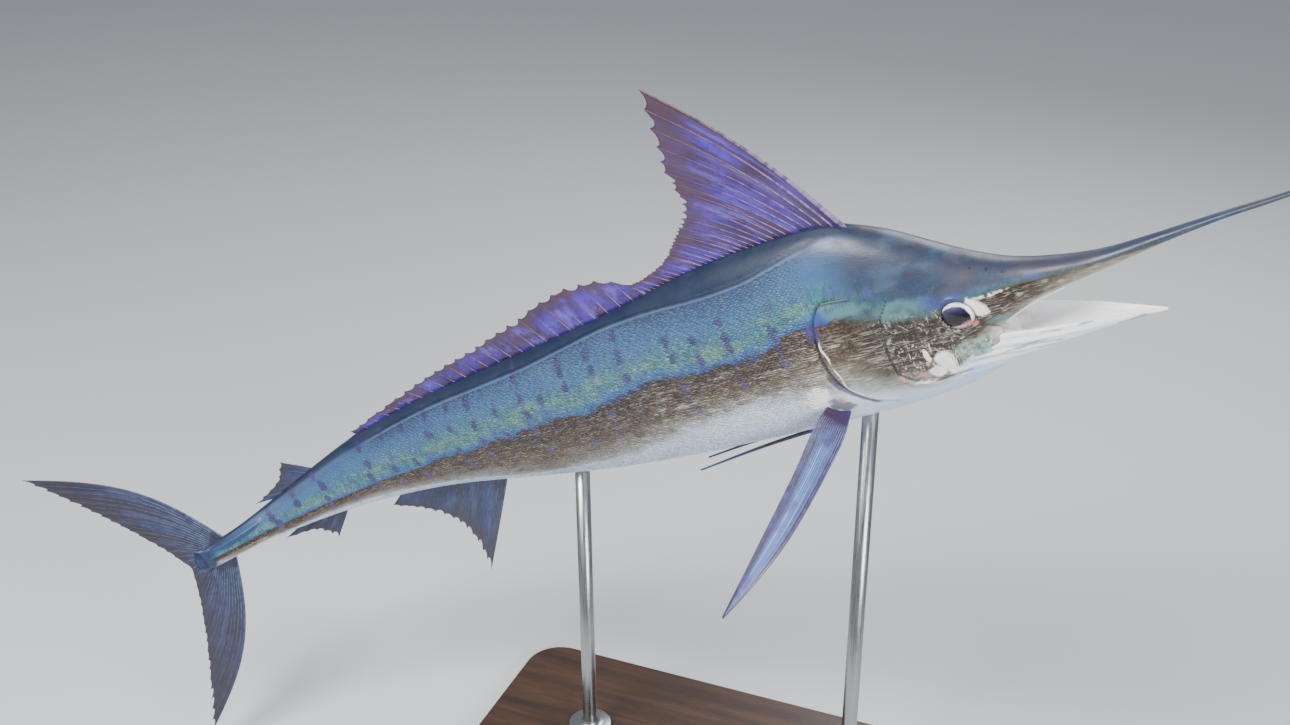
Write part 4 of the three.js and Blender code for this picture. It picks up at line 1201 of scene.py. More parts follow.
def scales(side, word, seed):
    """The scales of one flank as one piece."""
    name, pick = "scales_" + word, np.random.default_rng(seed)
    x, angle, grown = scale_bed(side, pick)
    root = on_trunk(x, angle)
    up, lie = lie_of(x, angle, root, pick)
    bed = bpy.data.meshes.new(name + "_bed")
    bed.from_pydata((place(root) + up * BED_LIFT).tolist(), [], [])
    kept = dict(marks(root), straight=root * MM, lie=lie, grown=grown,
                scale=pick.uniform(0.35, 1.0, len(x)), girth=angle / (2 * np.pi))
    for key, values in kept.items():
        keep_attribute(bed, key, values)
    made = through_nodes(bed, SCALE_TREE, {
        "Length": SCALE_LONG * MM, "Width": SCALE_WIDE * MM, "Thickness": SCALE_THICK * MM,
        "Material": skin_material})
    made.name = name
    bake_map(made)
    finish_piece(name, made, skin_material)


for (side, word), seed in zip(SIDES, (11, 12)):
    scales(side, word, seed)

# %% [markdown]
# ## Gill covers
# The gill cover is the bony plate behind the cheek. Its rear edge stands off the body over the
# gill slit, and its front runs out into the cheek. It is a thin closed plate that follows the
# body, a few millimetres proud at the rear and sunk under the skin in front.

# %% Gill covers
GILL_REAR = [
    (0, 508, 62), (0.1, 489, 71), (0.25, 482, 84), (0.4, 484, 98), (0.55, 500, 114),
    (0.7, 532, 129), (0.85, 585, 143), (1, 655, 152)]
GILL_FRONT = [
    (0, 622, 62), (0.1, 612, 68), (0.25, 603, 80), (0.4, 600, 94), (0.55, 604, 108),
    (0.7, 620, 121), (0.85, 652, 132), (1, 690, 139)]
GILL_ROWS, GILL_COLUMNS, GILL_PROUD, GILL_SUNK = 90, 44, 5.6, -1.8


def two_curves(points):
    """Smooth curves through the second and through the third number of each point."""
    return [through([(point[0], point[i]) for point in points]) for i in (1, 2)]


def on_body(x, angle, side, lift):
    """Points of the trunk's surface, lifted along its outward direction."""
    def at(dx, da):
        p = section(x + dx, angle + da, belly(x + dx))
        p[..., 1] *= -side
        return p

    out = unit(np.cross(at(4, 0) - at(-4, 0), at(0, 0.03) - at(0, -0.03)))
    out *= np.sign(out[..., 1:2]) * side
    return at(0, 0) + out * lift[..., None]


def gill_marks(points, u, v):
    """The skin's marks, a broken white rim, and painted shade at the plate's rear and top edges."""
    fields = marks(points)
    wander = 0.05 * np.sin(v * 19) + 0.03 * np.sin(v * 43)
    rim = hump(u - 0.07 - 0.5 * wander, 0.022) * ease((v - 0.16) / 0.1)
    broken = 0.74 + 0.26 * np.sin(v * 31 + 2) * np.sin(v * 13)
    # Painted shade: dark lines along the plate's rear and top edges, where it stands off the body.
    edges = np.maximum(hump(v, 0.03), 0.9 * hump(u, 0.018))
    fields["bone_and_highlight"] = np.maximum(fields["bone_and_highlight"], broken * rim)
    fields["lines"] = np.maximum(fields["lines"] * ease((u - 0.3) / 0.3), edges)
    fields["flap"] = 0.0 * fields["flap"]
    fields["rust"] = np.maximum(fields["rust"], 0.8 * ease((0.15 - u) / 0.1) * (v > 0.15))
    return fields


def gill_cover(side, word):
    """u goes from the plate's rear edge to its front, v from its top to its low end."""
    v = np.linspace(0, 1, GILL_ROWS)[:, None]
    u = np.linspace(0, 1, GILL_COLUMNS)[None, :] ** 1.5
    (rear_x, rear_angle), (front_x, front_angle) = two_curves(GILL_REAR), two_curves(GILL_FRONT)
    x = mix(rear_x(v), front_x(v), u)
    angle = np.radians(mix(rear_angle(v), front_angle(v), u))
    ends = mix(0.45, 1, ease(v / 0.05)) * ease((1 - v) / 0.25)
    lift = mix(GILL_PROUD, GILL_SUNK, ease(u ** 0.9)) * ends * mix(0.6, 1, ease(u / 0.03))
    lift = lift - SKIN_INSET - 1.4 * (1 - ends)
    under = lift - mix(1.6, 2.2, u)
    points, faces = thin_plate(on_body(x, angle, side, lift), on_body(x, angle, side, under))
    fields = gill_marks(points, both_sheets(u, x.shape), both_sheets(v, x.shape))
    mesh_piece("gill_plate_" + word, points, faces, skin_material,
               ("gill_cover_" + word,), fields)


for side, word in SIDES:
    gill_cover(side, word)

# %% [markdown]
# ## Upper jaw plates
# Behind the corner of the mouth a bony plate, the maxilla, hangs from the upper jaw and laps over
# the lower one. It closes the slot between the jaws. It is laid over whichever of the two
# surfaces stands further out, so that it bridges them without a step.

# %% Upper jaw plates
PLATE_TOP = through([(690, -58), (715, -42), (752, -26), (784, -36)])
PLATE_LOW = through([(690, -78), (700, -90), (728, -92), (757, -80), (774, -64), (784, -48)])
PLATE_FROM, PLATE_TO, PLATE_ROWS, PLATE_COLUMNS, PLATE_THICK = 690, 784, 56, 30, 3.2
PLATE_BLEND = 2.5


def beside_mouth(x, z):
    """How far out the head or the lower jaw reaches at x, z."""
    shape = skin_shape(x)[1]
    middle, low = widest_z(x), upper_jaw(x)
    share = np.clip((middle - z) / (middle - low), 0, 1)
    upper = half_width(x) * (1 - share ** shape) ** (1 / shape)
    sine = np.clip((jaw_rim(x) - z) / (jaw_rim(x) - jaw_below(x)), 0, 1) ** (1 / JAW_ROUND)
    lower = jaw_half_width(x) * np.sqrt(1 - np.minimum(sine, 1) ** 2) ** JAW_ROUND
    return np.log(np.exp(upper / PLATE_BLEND) + np.exp(lower / PLATE_BLEND)) * PLATE_BLEND - 1.0


def jaw_plate(side, name):
    along = np.linspace(0, 1, PLATE_ROWS)[:, None]
    down = np.linspace(0, 1, PLATE_COLUMNS)[None, :]
    x = mix(PLATE_FROM, PLATE_TO, along) + 0 * down
    z = mix(PLATE_TOP(x), PLATE_LOW(x), down)
    bulge = np.sin(np.pi * np.clip(down * 1.08 - 0.04, 0, 1)) ** 0.5
    lift = mix(-2.2, 2.6, bulge * between(along, 0, 1, 0.12, 0.10))
    lift = lift - 0.8 * hump(down - 0.42 + 0.1 * along, 0.05) * ease(along / 0.2)
    y = beside_mouth(x, z) + lift
    points, faces = thin_plate(
        np.stack([x, side * y, z], -1), np.stack([x, side * (y - PLATE_THICK), z], -1))
    fields = marks(points)
    low_edge = both_sheets(down, x.shape)
    bone_and_highlight = fields["bone_and_highlight"] * (low_edge < 0.5)
    fields["bone_and_highlight"] = np.maximum(bone_and_highlight, 0.9 * ease((low_edge - 0.86) / 0.08))
    fields["lines"] = 0.0 * fields["lines"]
    mesh_piece(name, points, faces, skin_material, (), fields)


for side, word in SIDES:
    jaw_plate(side, "maxilla_" + word)

# %% [markdown]
# ## Eyes
# The eye is a large, flattened ball that sits deep in its rimmed socket. The dark pupil looks a
# little back and up, with a violet grey iris round it, paler towards the top as a painted
# highlight. Ahead of it the white of the eye shows, and a fold of pink flesh in the front corner.
# A clear wet coat catches the light.

# %% Eye finish
IRIS_AT, IRIS_REACH = (-0.22, -0.19), 0.86
# The iris from the bottom of the ball to its top, paler at the top as a painted highlight.
IRIS_COLOURS_WITH_HIGHLIGHT = [
    (0.0, "6b5560"), (0.14, "b9a3b4"), (0.20, "cdb9c8"), (0.25, "1d1218"), (0.38, "0e090b"),
    (0.54, "161320"), (0.66, "26233f"), (0.78, "4b4568"), (0.86, "8d8499"), (1.0, "b3adb8")]


def eye_finish():
    """The iris by height with a painted highlight on top, the white by distance, then flesh and
    rim.
    """
    f = Finish("wet_eye", 0.10, Coat_Weight=0.5, Coat_Roughness=0.03, Specular_IOR_Level=0.35)
    ball = f.attribute("eyeball", "Vector")
    x, y, z = f.parts(ball)
    dx, dy = f.times(f.math("SUBTRACT", x, IRIS_AT[0]), 0.94), f.math("SUBTRACT", y, IRIS_AT[1])
    fibre = f.noise(7, 5, rough=0.65, source=ball)
    ragged = f.times(f.math("SUBTRACT", fibre, 0.5), 0.16)
    away = f.plus(f.math("SQRT", f.plus(f.times(dx, dx), f.times(dy, dy))), ragged)
    height = f.plus(f.times(f.plus(y, 1.0), 0.5), ragged)
    white = f.step(away, IRIS_REACH - 0.06, IRIS_REACH + 0.02)
    colour = f.coat(f.ramp(height, IRIS_COLOURS_WITH_HIGHLIGHT), "f0ecea", white)
    flesh = f.blend(f.step(fibre, 0.35, 0.6), "8c4a40", "dca698")
    colour = f.coat(colour, flesh, f.step(y, -0.30, -0.62), f.step(x, 0.0, 0.4))
    rim = f.blend(f.step(x, -0.2, 0.4), "221a1c", "b9a49c")
    return f.done(f.coat(colour, rim, f.step(z, 0.52, 0.36)))


eye_material = eye_finish()
print("the iris has", len(IRIS_COLOURS_WITH_HIGHLIGHT), "colours from low to high")

# %% Eyes
EYE_SPOKES, EYE_RINGS, EYE_SPARE, HEAD_ROUND = 72, 48, 0.6, 2.2


def flank_point(x, z, side):
    """A point of the smooth head at x, z."""
    middle = widest_z(x)
    share = np.minimum(0.999, np.abs(z - middle) / (back(x) - middle))
    y = half_width(x) * (1 - share ** HEAD_ROUND) ** (1 / HEAD_ROUND)
    return np.array([x, side * y, z], float)


def eye_axes(side):
    """The eye's place on the flank, and its directions ahead, up and out."""
    ahead = unit(flank_point(EYE_X + 6, EYE_Z, side) - flank_point(EYE_X - 6, EYE_Z, side))
    upward = flank_point(EYE_X, EYE_Z + 6, side) - flank_point(EYE_X, EYE_Z - 6, side)
    out = unit(-side * np.cross(ahead, upward))
    return flank_point(EYE_X, EYE_Z, side), ahead, -side * np.cross(out, ahead), out


def eye(side, word):
    at, ahead, up, out = eye_axes(side)
    theta = np.linspace(0.02, np.pi - 0.02, EYE_RINGS)[:, None]
    phi = np.linspace(0, 2 * np.pi, EYE_SPOKES, endpoint=False)[None, :]
    ball = np.stack(np.broadcast_arrays(
        np.sin(theta) * np.cos(phi), np.sin(theta) * np.sin(phi), np.cos(theta)), -1)
    sized = ball * [EYE_LONG + EYE_SPARE, EYE_HIGH + EYE_SPARE, EYE_BULGE]
    a, b, c, s = sized[..., 0], sized[..., 1], math.cos(EYE_TILT), math.sin(EYE_TILT)
    turned = np.stack([a * c - b * s, a * s + b * c], -1)
    rings = (at + out * (EYE_OUT - EYE_BULGE) + turned[..., :1] * ahead + turned[..., 1:] * up
             + sized[..., 2:] * out)
    points, faces = loft(rings)
    flat = np.concatenate([turned / EYE_LONG, ball[..., 2:]], -1)
    flat = np.vstack([flat.reshape(-1, 3), [[0, 0, 1], [0, 0, -1]]])
    mesh_piece("eyeball_" + word, points, faces, eye_material, ("eye_" + word,),
               {"eyeball": flat})


for side, word in SIDES:
    eye(side, word)

# %% [markdown]
# ## Fins
# A fin is a thin membrane held out by many rays. The membrane is one closed sheet, made as a grid
# whose columns run from root to margin. The rays repeat, so Geometry Nodes make them: they turn
# lines into tapered tubes whose thickness each line's points carry. At the margin the ray tips
# stand out and the membrane hangs back between them, torn a little here and there.

# %% Ray maker in Geometry Nodes
RAY_SIDES = 6


def ray_tree():
    """Lines made into tubes whose thickness each point of a line keeps."""
    tree = new_tree("rays_from_lines", [
        ("Thickness", "Float", 1.0), ("Sides", "Int", 6), ("Material", "Material", None)])
    given, result = add_node(tree, "NodeGroupInput"), add_node(tree, "NodeGroupOutput")
    curve = add_node(tree, "GeometryNodeMeshToCurve")
    radius = add_node(
        tree, "GeometryNodeInputNamedAttribute", {"data_type": "FLOAT"}, Name="ray_radius")
    scaled = add_node(tree, "ShaderNodeMath", {"operation": "MULTIPLY"})
    circle = add_node(tree, "GeometryNodeCurvePrimitiveCircle", Radius=1.0)
    tube = add_node(tree, "GeometryNodeCurveToMesh", **{"Fill Caps": True})
    real = add_node(tree, "GeometryNodeRealizeInstances")
    finish = add_node(tree, "GeometryNodeSetMaterial")
    wire(tree,
         (given, "Geometry", curve, "Mesh"), (radius, "Attribute", scaled, 0),
         (given, "Thickness", scaled, 1), (scaled, 0, tube, "Scale"),
         (curve, "Curve", tube, "Curve"), (given, "Sides", circle, "Resolution"),
         (circle, "Curve", tube, "Profile Curve"), (tube, "Mesh", real, "Geometry"),
         (real, "Geometry", finish, "Geometry"), (given, "Material", finish, "Material"),
         (finish, "Geometry", result, "Geometry"))
    return tree


RAY_TREE = ray_tree()


def ray_tubes(name, lines, radii, along, material):
    """Tubes along lines of straight points: lines and radii are arrays of rays, points."""
    rays, count = lines.shape[:2]
    mesh = bpy.data.meshes.new(name + "_lines")
    edges = [(r * count + i, r * count + i + 1) for r in range(rays) for i in range(count - 1)]
    mesh.from_pydata(place(lines).reshape(-1, 3).tolist(), edges, [])
    keep_attribute(mesh, "ray_radius", radii.ravel() * MM)
    keep_attribute(mesh, "along", along.ravel())
    keep_attribute(mesh, "straight", lines.reshape(-1, 3) * MM)
    made = through_nodes(
        mesh, RAY_TREE, {"Thickness": 1.0, "Sides": RAY_SIDES, "Material": material})
    made.name = name
    finish_piece(name, made, material)


print("the ray maker has", len(RAY_TREE.nodes), "nodes")

# %% [markdown]
# ## Fin finishes
# The membranes of the dorsal fin glow violet, with a brown margin and dark flecks between the
# rays. The rays themselves are violet grey to brown. The pectoral fins are paler, blue along the
# middle, and the fins of the rear body are dusky.

# %% Fin finishes


def membrane_finish(name, glow, deep, margin, pale):
    """A membrane streaked along its rays, which the grid attribute counts, with painted shade at
    the root.
    """
    f = Finish(name, 0.34, Coat_Weight=0.2, Coat_Roughness=0.2)
    along, grid = f.value("along"), f.attribute("grid", "Vector")
    colour = f.blend(f.step(f.noise(17, 4, (0.8, 1, 0.8)), 0.36, 0.62), deep, glow)
    streaks = f.step(f.noise(0.62, 5, (1, 0.16, 1), 0.66, grid), 0.44, 0.58)
    colour = f.coat(colour, margin, streaks, 0.78)
    light = f.step(f.noise(1.1, 4, (1, 0.2, 1), 0.6, grid, (4, 7, 2)), 0.54, 0.68)
    colour = f.coat(colour, pale, light, 0.55)
    dark = f.step(f.noise(3.4, 4, (1, 0.35, 1), 0.6, grid, (9, 1, 5)), 0.55, 0.68)
    colour = f.coat(colour, "160f26", dark, 0.55)
    flecks = f.step(f.noise(300, 2, (0.6, 1, 0.6)), 0.60, 0.7)
    colour = f.coat(colour, "1c1630", flecks, 0.4)
    # Painted shade: darker towards the root, where the fin meets the body.
    colour = f.coat(colour, "1a1430", f.step(along, 0.22, 0.0, 0.0, 0.55))
    torn = f.plus(along, f.wobble(0.5, 40, 3))
    colour = f.coat(colour, margin, f.step(torn, 0.62, 0.95), 0.85)
    height = f.plus(f.times(f.noise(260, 3), 0.3), f.noise(1.4, 3, (1, 0.5, 1), 0.5, grid))
    return f.done(colour, None, height, 0.0015, 0.5)


def ray_finish(name, root, tip, dark):
    """A ray's colour from root to tip, with dark grain."""
    f = Finish(name, 0.4, Coat_Weight=0.15, Coat_Roughness=0.2)
    colour = f.blend(f.step(f.value("along"), 0.15, 0.9), root, tip)
    colour = f.coat(colour, dark, f.step(f.noise(70, 4, rough=0.6), 0.42, 0.62), 0.7)
    return f.done(colour, None, f.noise(300, 2), 0.0004, 0.4)


DORSAL_LOOK = (
    membrane_finish("dorsal_membrane", "4b2fa8", "2b1b58", "45303a", "6f5cbc"),
    ray_finish("dorsal_rays", "8d78a0", "6e5650", "35254c"))
DUSKY_LOOK = (
    membrane_finish("dusky_membrane", "36426c", "2a3050", "36313b", "4a5880"),
    ray_finish("dusky_rays", "4f5a78", "524a4e", "262a40"))
TAIL_LOOK = (
    membrane_finish("tail_membrane", "383f64", "292c4a", "332e38", "4b5479"), DUSKY_LOOK[1])
print("the dorsal fin's finishes are", *[look.name for look in DORSAL_LOOK])

# %% Pectoral finish
PECTORAL_RAYS = 15


def pectoral_finish():
    """A pale blue middle between dusky violet edges, with painted highlights in the middle."""
    f = Finish("pectoral_membrane", 0.30, Coat_Weight=0.3, Coat_Roughness=0.15)
    along, grid = f.value("along"), f.attribute("grid", "Vector")
    across = f.math("DIVIDE", f.parts(grid)[0], PECTORAL_RAYS - 1)
    from_middle = f.math("ABSOLUTE", f.math("SUBTRACT", across, 0.47))
    wander = f.wobble(0.42, 1.2, 4, (1, 0.2, 1), 0.6, grid)
    edge = f.step(f.plus(from_middle, wander), 0.12, 0.40)
    colour = f.blend(f.math("MAXIMUM", edge, f.step(along, 0.24, 0.09)), "5f7fc4", "362a4a")
    # Pale blue patches in the middle are painted highlights.
    glow = f.step(f.noise(0.9, 4, (1, 0.25, 1), 0.6, grid, (3, 3, 3)), 0.50, 0.66)
    middle = f.step(from_middle, 0.26, 0.08)
    colour = f.coat(colour, "9dc0f0", glow, f.step(along, 0.12, 0.28), middle, 0.75)
    colour = f.coat(colour, "4336a0", f.step(f.noise(20, 4), 0.52, 0.66), 0.55)
    brown = f.step(f.noise(28, 4, shift=(4, 4, 4)), 0.55, 0.68)
    colour = f.coat(colour, "3c2c34", brown, 0.5)
    return f.done(colour, None, f.noise(260, 3), 0.0008, 0.4)


PECTORAL_LOOK = (pectoral_finish(), ray_finish("pectoral_rays", "5a6094", "4a3c5c", "2e2a4e"))
print("a pectoral fin has", PECTORAL_RAYS, "rays")

# %% [markdown]
# ## Fin maker
# Every fin is told by where its root runs, where its margin runs, and how many rays it has. The
# share across the fin goes from its leading edge, 0, to its rear end, 1. The share along a ray
# goes from the root to the margin.

# %% Fin maker
RAY_COLUMNS, ROOT_DEPTH, MEMBRANE_HALF = 5, 14, 0.55
SIDEWAYS = np.array([0.0, 1.0, 0.0])
chance = np.random.default_rng(7)


def margin_of(points):
    """A fin's margin through points, each given by its share across the fin, x and z."""
    x, z = two_curves(points)
    return lambda u: np.stack([x(u), np.zeros(np.shape(u)), z(u)], -1)


def root_on(edge, up, start, end, power=1.0):
    """A fin's root along the back or the belly, sunk into the body."""
    def at(u):
        x = mix(start, end, np.asarray(u) ** power)
        return np.stack([x, np.zeros(np.shape(x)), edge(x) - up * ROOT_DEPTH], -1)
    return at


def flat_fin(root, margin, bow=0.0):
    """A fin in the fish's middle plane: the point at a share across and along it."""
    def at(u, way):
        start = root(u)
        reach = margin(u) - start
        swing = np.cross(reach, SIDEWAYS) * bow * (1 - u)[..., None]
        return start + reach * way[..., None] + np.sin(np.pi * way)[..., None] * swing
    return at


def fin_reach(rays, notch, tip_jitter, rear_drop):
    """Each column's share across, its place among the rays, and how far it reaches out."""
    u = np.linspace(0, 1, (rays - 1) * RAY_COLUMNS + 1)
    phase = u * (rays - 1)
    hung = np.sin(np.pi * (phase - np.floor(phase))) ** 0.6
    jitter = np.interp(phase, np.arange(rays), chance.uniform(-tip_jitter, tip_jitter, rays))
    torn = notch * (0.55 + 0.9 * np.interp(phase, np.arange(rays) + 0.5, chance.random(rays)))
    return u, phase, 1 + jitter - hung * torn - rear_drop * u


def fin(name, node, at, rays, look, rows, notch, ray_half, side=SIDEWAYS, root_half=2.6,
        ripple=0.9, tip_jitter=0.02, rear_drop=0.0, lead=0.5):
    """A membrane and its rays. at(u, way) gives straight points, and side is the fin's side."""
    u, phase, reach = fin_reach(rays, notch, tip_jitter, rear_drop)
    way = np.linspace(0, 1, rows)[:, None]
    ways = way * np.minimum(reach, 1.0)
    us = np.broadcast_to(u, ways.shape)
    wave = ripple * np.sin(np.pi * phase) * ease(way * 2) * (1 - 0.4 * way)
    middle = at(us, ways) + side * wave[..., None]
    half = mix(root_half, MEMBRANE_HALF, ease(way / 0.12)) * mix(1, 0.45, way ** 3)
    half = np.broadcast_to(half, ways.shape)[..., None]
    points, faces = thin_plate(middle + side * half, middle - side * half)
    grid = np.stack([us * (rays - 1), ways * 6, 0 * us + len(pieces)], -1).reshape(-1, 3)
    mesh_piece(name, points, faces, look[0], (node,),
               {"along": both_sheets(ways, ways.shape), "grid": np.tile(grid, (2, 1))})
    ray_way = way[:, 0] * np.clip(reach[::RAY_COLUMNS] + 0.004, 0, 1)[:, None]
    ray_u = np.broadcast_to(np.linspace(0, 1, rays)[:, None], ray_way.shape)
    first = 1 + lead * np.exp(-np.arange(rays) / 1.1)[:, None]
    radii = ray_half * first * mix(1.0, 0.26, ray_way ** 1.1)
    ray_tubes(name + "_rays", at(ray_u, ray_way), radii, ray_way, look[1])


print("a fin's root is sunk by", ROOT_DEPTH, "mm")

# %% Dorsal fins
LOBE_MARGIN = [
    (0, 322, 514), (0.06, 313, 446), (0.12, 304, 388), (0.19, 305, 342), (0.27, 311, 304),
    (0.35, 294, 272), (0.5, 268, 242), (0.67, 238, 213), (0.8, 205, 196), (0.9, 173, 186),
    (1, 148, 184)]
LENGTH_MARGIN = [
    (0, 148, 184), (0.06, 101, 209), (0.17, 10, 218), (0.31, -100, 195), (0.46, -216, 170),
    (0.66, -368, 143), (0.85, -510, 112), (1, -602, 92)]
SECOND_MARGIN = [(0, -768, 104), (0.5, -800, 68), (1, -858, 52)]

fin("dorsal_lobe", "dorsal_fin_lobe",
    flat_fin(root_on(back, 1, 574, 182, 0.92), margin_of(LOBE_MARGIN), -0.034),
    33, DORSAL_LOOK, rows=44, notch=0.045, ray_half=1.35, lead=2.6)
fin("dorsal_length", "dorsal_fin_length",
    flat_fin(root_on(back, 1, 176, -585), margin_of(LENGTH_MARGIN)),
    26, DORSAL_LOOK, rows=22, notch=0.10, ray_half=1.5, ripple=1.6)
fin("second_dorsal", "second_dorsal_fin",
    flat_fin(root_on(back, 1, -708, -792), margin_of(SECOND_MARGIN)),
    7, DUSKY_LOOK, rows=14, notch=0.08, ray_half=1.2)

# %% Anal fins
FIRST_ANAL_MARGIN = [
    (0, -492, -318), (0.25, -484, -236), (0.5, -506, -176), (0.75, -560, -128), (1, -612, -98)]
SECOND_ANAL_MARGIN = [(0, -752, -106), (0.5, -784, -68), (1, -846, -50)]

fin("first_anal", "first_anal_fin",
    flat_fin(root_on(belly, -1, -318, -560), margin_of(FIRST_ANAL_MARGIN)),
    15, DUSKY_LOOK, rows=26, notch=0.06, ray_half=1.6)
fin("second_anal", "second_anal_fin",
    flat_fin(root_on(belly, -1, -690, -776), margin_of(SECOND_ANAL_MARGIN)),
    7, DUSKY_LOOK, rows=14, notch=0.08, ray_half=1.2)

# %% Tail fin
TAIL_MARGIN = [
    (0, -1212, 345), (0.3, -1150, 236), (0.62, -1096, 130), (0.85, -1062, 52), (1, -1044, 0.3)]


def tail_lobe(up, name, node):
    def root(u):
        x = mix(-952, -985, np.minimum(1, u * 1.6))
        z = mix(back(x) - 9, 0.3, ease(u))
        return np.stack([x, np.zeros(np.shape(x)), up * z], -1)

    margin = margin_of([(u, x, up * z) for u, x, z in TAIL_MARGIN])
    fin(name, node, flat_fin(root, margin, -0.1 * up), 18, TAIL_LOOK, rows=34,
        notch=0.03, ray_half=1.9, root_half=5.5, ripple=0.5, tip_jitter=0.008)


tail_lobe(1, "tail_lobe_upper", "tail_fin_upper_lobe")
tail_lobe(-1, "tail_lobe_lower", "tail_fin_lower_lobe")

# %% [markdown]
# ## Paired fins
# The pectoral fins are long blades that swing down and back from behind the gill slit, bowed a
# little like a wing. The pelvic fins are two slender stalks, folded back along the belly.

# %% Pectoral fins
PECTORAL_X, PECTORAL_Z, PECTORAL_LENGTH = 474, -112, 442
PECTORAL_CHORD = through([
    (0, 26), (0.05, 38), (0.13, 54), (0.3, 52), (0.6, 44), (0.82, 25), (1, 3)])


def pectoral(side, word):
    along = unit([-0.575, side * 0.593, -0.566])
    ahead = unit([0.66, -side * 0.077, -0.75])
    out = unit(np.cross(along, ahead))
    root_y = side * (half_width(PECTORAL_X) * 0.86 - ROOT_DEPTH)
    root = np.array([PECTORAL_X, root_y, PECTORAL_Z])

    def at(u, way):
        sag = 16 * np.sin(np.pi * way * 0.9) - 22 * way * way
        lift = -10 * np.sin(np.pi * way) + 12 * (u - 0.5) ** 2 * ease(way / 0.25)
        deep = 24 * (1 - way) ** 10
        return (root + along * (PECTORAL_LENGTH * way - deep)[..., None]
                + ahead * ((0.5 - u) * PECTORAL_CHORD(way) + sag)[..., None]
                + out * lift[..., None])

    fin("pectoral_" + word, "pectoral_fin_" + word, at, PECTORAL_RAYS,
        PECTORAL_LOOK, rows=60, notch=0.012, ray_half=1.3, side=out, root_half=9, ripple=0.35,
        tip_jitter=0.003, rear_drop=0.012)


for side, word in SIDES:
    pectoral(side, word)

# %% Pelvic fins
PELVIC_X, PELVIC_Y, PELVIC_LENGTH, PELVIC_ROWS, PELVIC_SIDES = 446, 13, 330, 60, 16


def pelvic(side, word):
    t = np.linspace(0, 1, PELVIC_ROWS)[:, None]
    a = np.linspace(0, 2 * np.pi, PELVIC_SIDES, endpoint=False)[None, :]
    x = PELVIC_X - PELVIC_LENGTH * t
    wide, thick = mix(5.5, 1.2, t ** 1.3), mix(2.4, 0.9, t)
    y = side * (PELVIC_Y + 10 * t) + wide * np.cos(a) * (1 + 0.12 * np.cos(3 * a))
    z = belly(x) + 3 - 32 * t ** 1.6 - thick + thick * 1.9 * np.sin(a)
    points, faces = loft(np.stack(np.broadcast_arrays(x, y, z), -1))
    along = np.append(np.repeat(t.ravel(), PELVIC_SIDES), [0, 1]) * 0.8
    mesh_piece("pelvic_" + word, points, faces, DUSKY_LOOK[0],
               ("pelvic_fin_" + word,), {"along": along, "grid": points * 0.02})


for side, word in SIDES:
    pelvic(side, word)

# %% [markdown]
# ## The stand
# The base is a dark board with a softened edge, and the rods are brushed steel, each with a round
# foot. The packed solids have few faces, so turned pieces of the same sizes stand in for them.

# %% Stand finishes


def wood_finish():
    f = Finish("stand_wood", 0.42, Coat_Weight=0.25, Coat_Roughness=0.25)
    spot = f.node("ShaderNodeTexCoord").outputs["Object"]
    rings = f.noise(3.2, 5, (0.6, 9, 9), 0.6, spot)
    pores = f.noise(60, 4, (0.35, 12, 12), 0.6, spot)
    colour = f.ramp(rings, [(0.3, "2b1d15"), (0.5, "3d291c"), (0.62, "4a3222"), (0.75, "2f2017")])
    colour = f.coat(colour, "1d130e", f.step(pores, 0.52, 0.7))
    return f.done(colour, f.step(pores, 0.4, 0.8, 0.35, 0.5), pores, 0.0004, 0.5)


def steel_finish():
    f = Finish("stand_steel", 0.28, Metallic=1.0)
    spot = f.node("ShaderNodeTexCoord").outputs["Object"]
    brush = f.noise(900, 2, (1, 1, 0.02), 0.5, spot)
    colour = f.blend(brush, "8f9192", "b9bbbc")
    return f.done(colour, f.step(brush, 0.3, 0.7, 0.22, 0.36), brush, 0.0002, 0.25)


WOOD, STEEL = wood_finish(), steel_finish()
print("the wood is made by", len(WOOD.node_tree.nodes), "nodes")

# %% Stand
BOARD_CORNER, BOARD_EDGE, CORNER_STEPS, EDGE_STEPS = 80, 5, 24, 6
BOARD_FOOT = [(3, 0), (1.2, 0), (0.3, 0.4), (0, 1.2)]
ROD_RADIUS, ROD_SIDES = 15, 72
ROD_FOOT = [
    (43, 0), (44.6, 0), (45.7, 0.5), (46, 1.6), (46, 7.4), (45.5, 8.5), (44.4, 9), (30, 9.7),
    (22.5, 11.4), (18.2, 15), (16, 20), (15.1, 26), (15, 34)]


def level_ring(x, y, radius, turn, z):
    """Points of an upright piece's outline at height z: arcs round middles at x and y."""
    return np.stack([
        x + radius * np.cos(turn), y + radius * np.sin(turn), np.full(len(turn), z)], -1)


def stand_piece(name, rings, material, node):
    points, faces = loft(np.array(rings))
    mesh = bpy.data.meshes.new(name)
    mesh.from_pydata((points * MM).tolist(), [], faces)
    finish_piece(name, mesh, material, (node,))


def box_of(node):
    """The low and the high corner of a node, in mm."""
    return [np.array(corner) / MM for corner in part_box(node)]


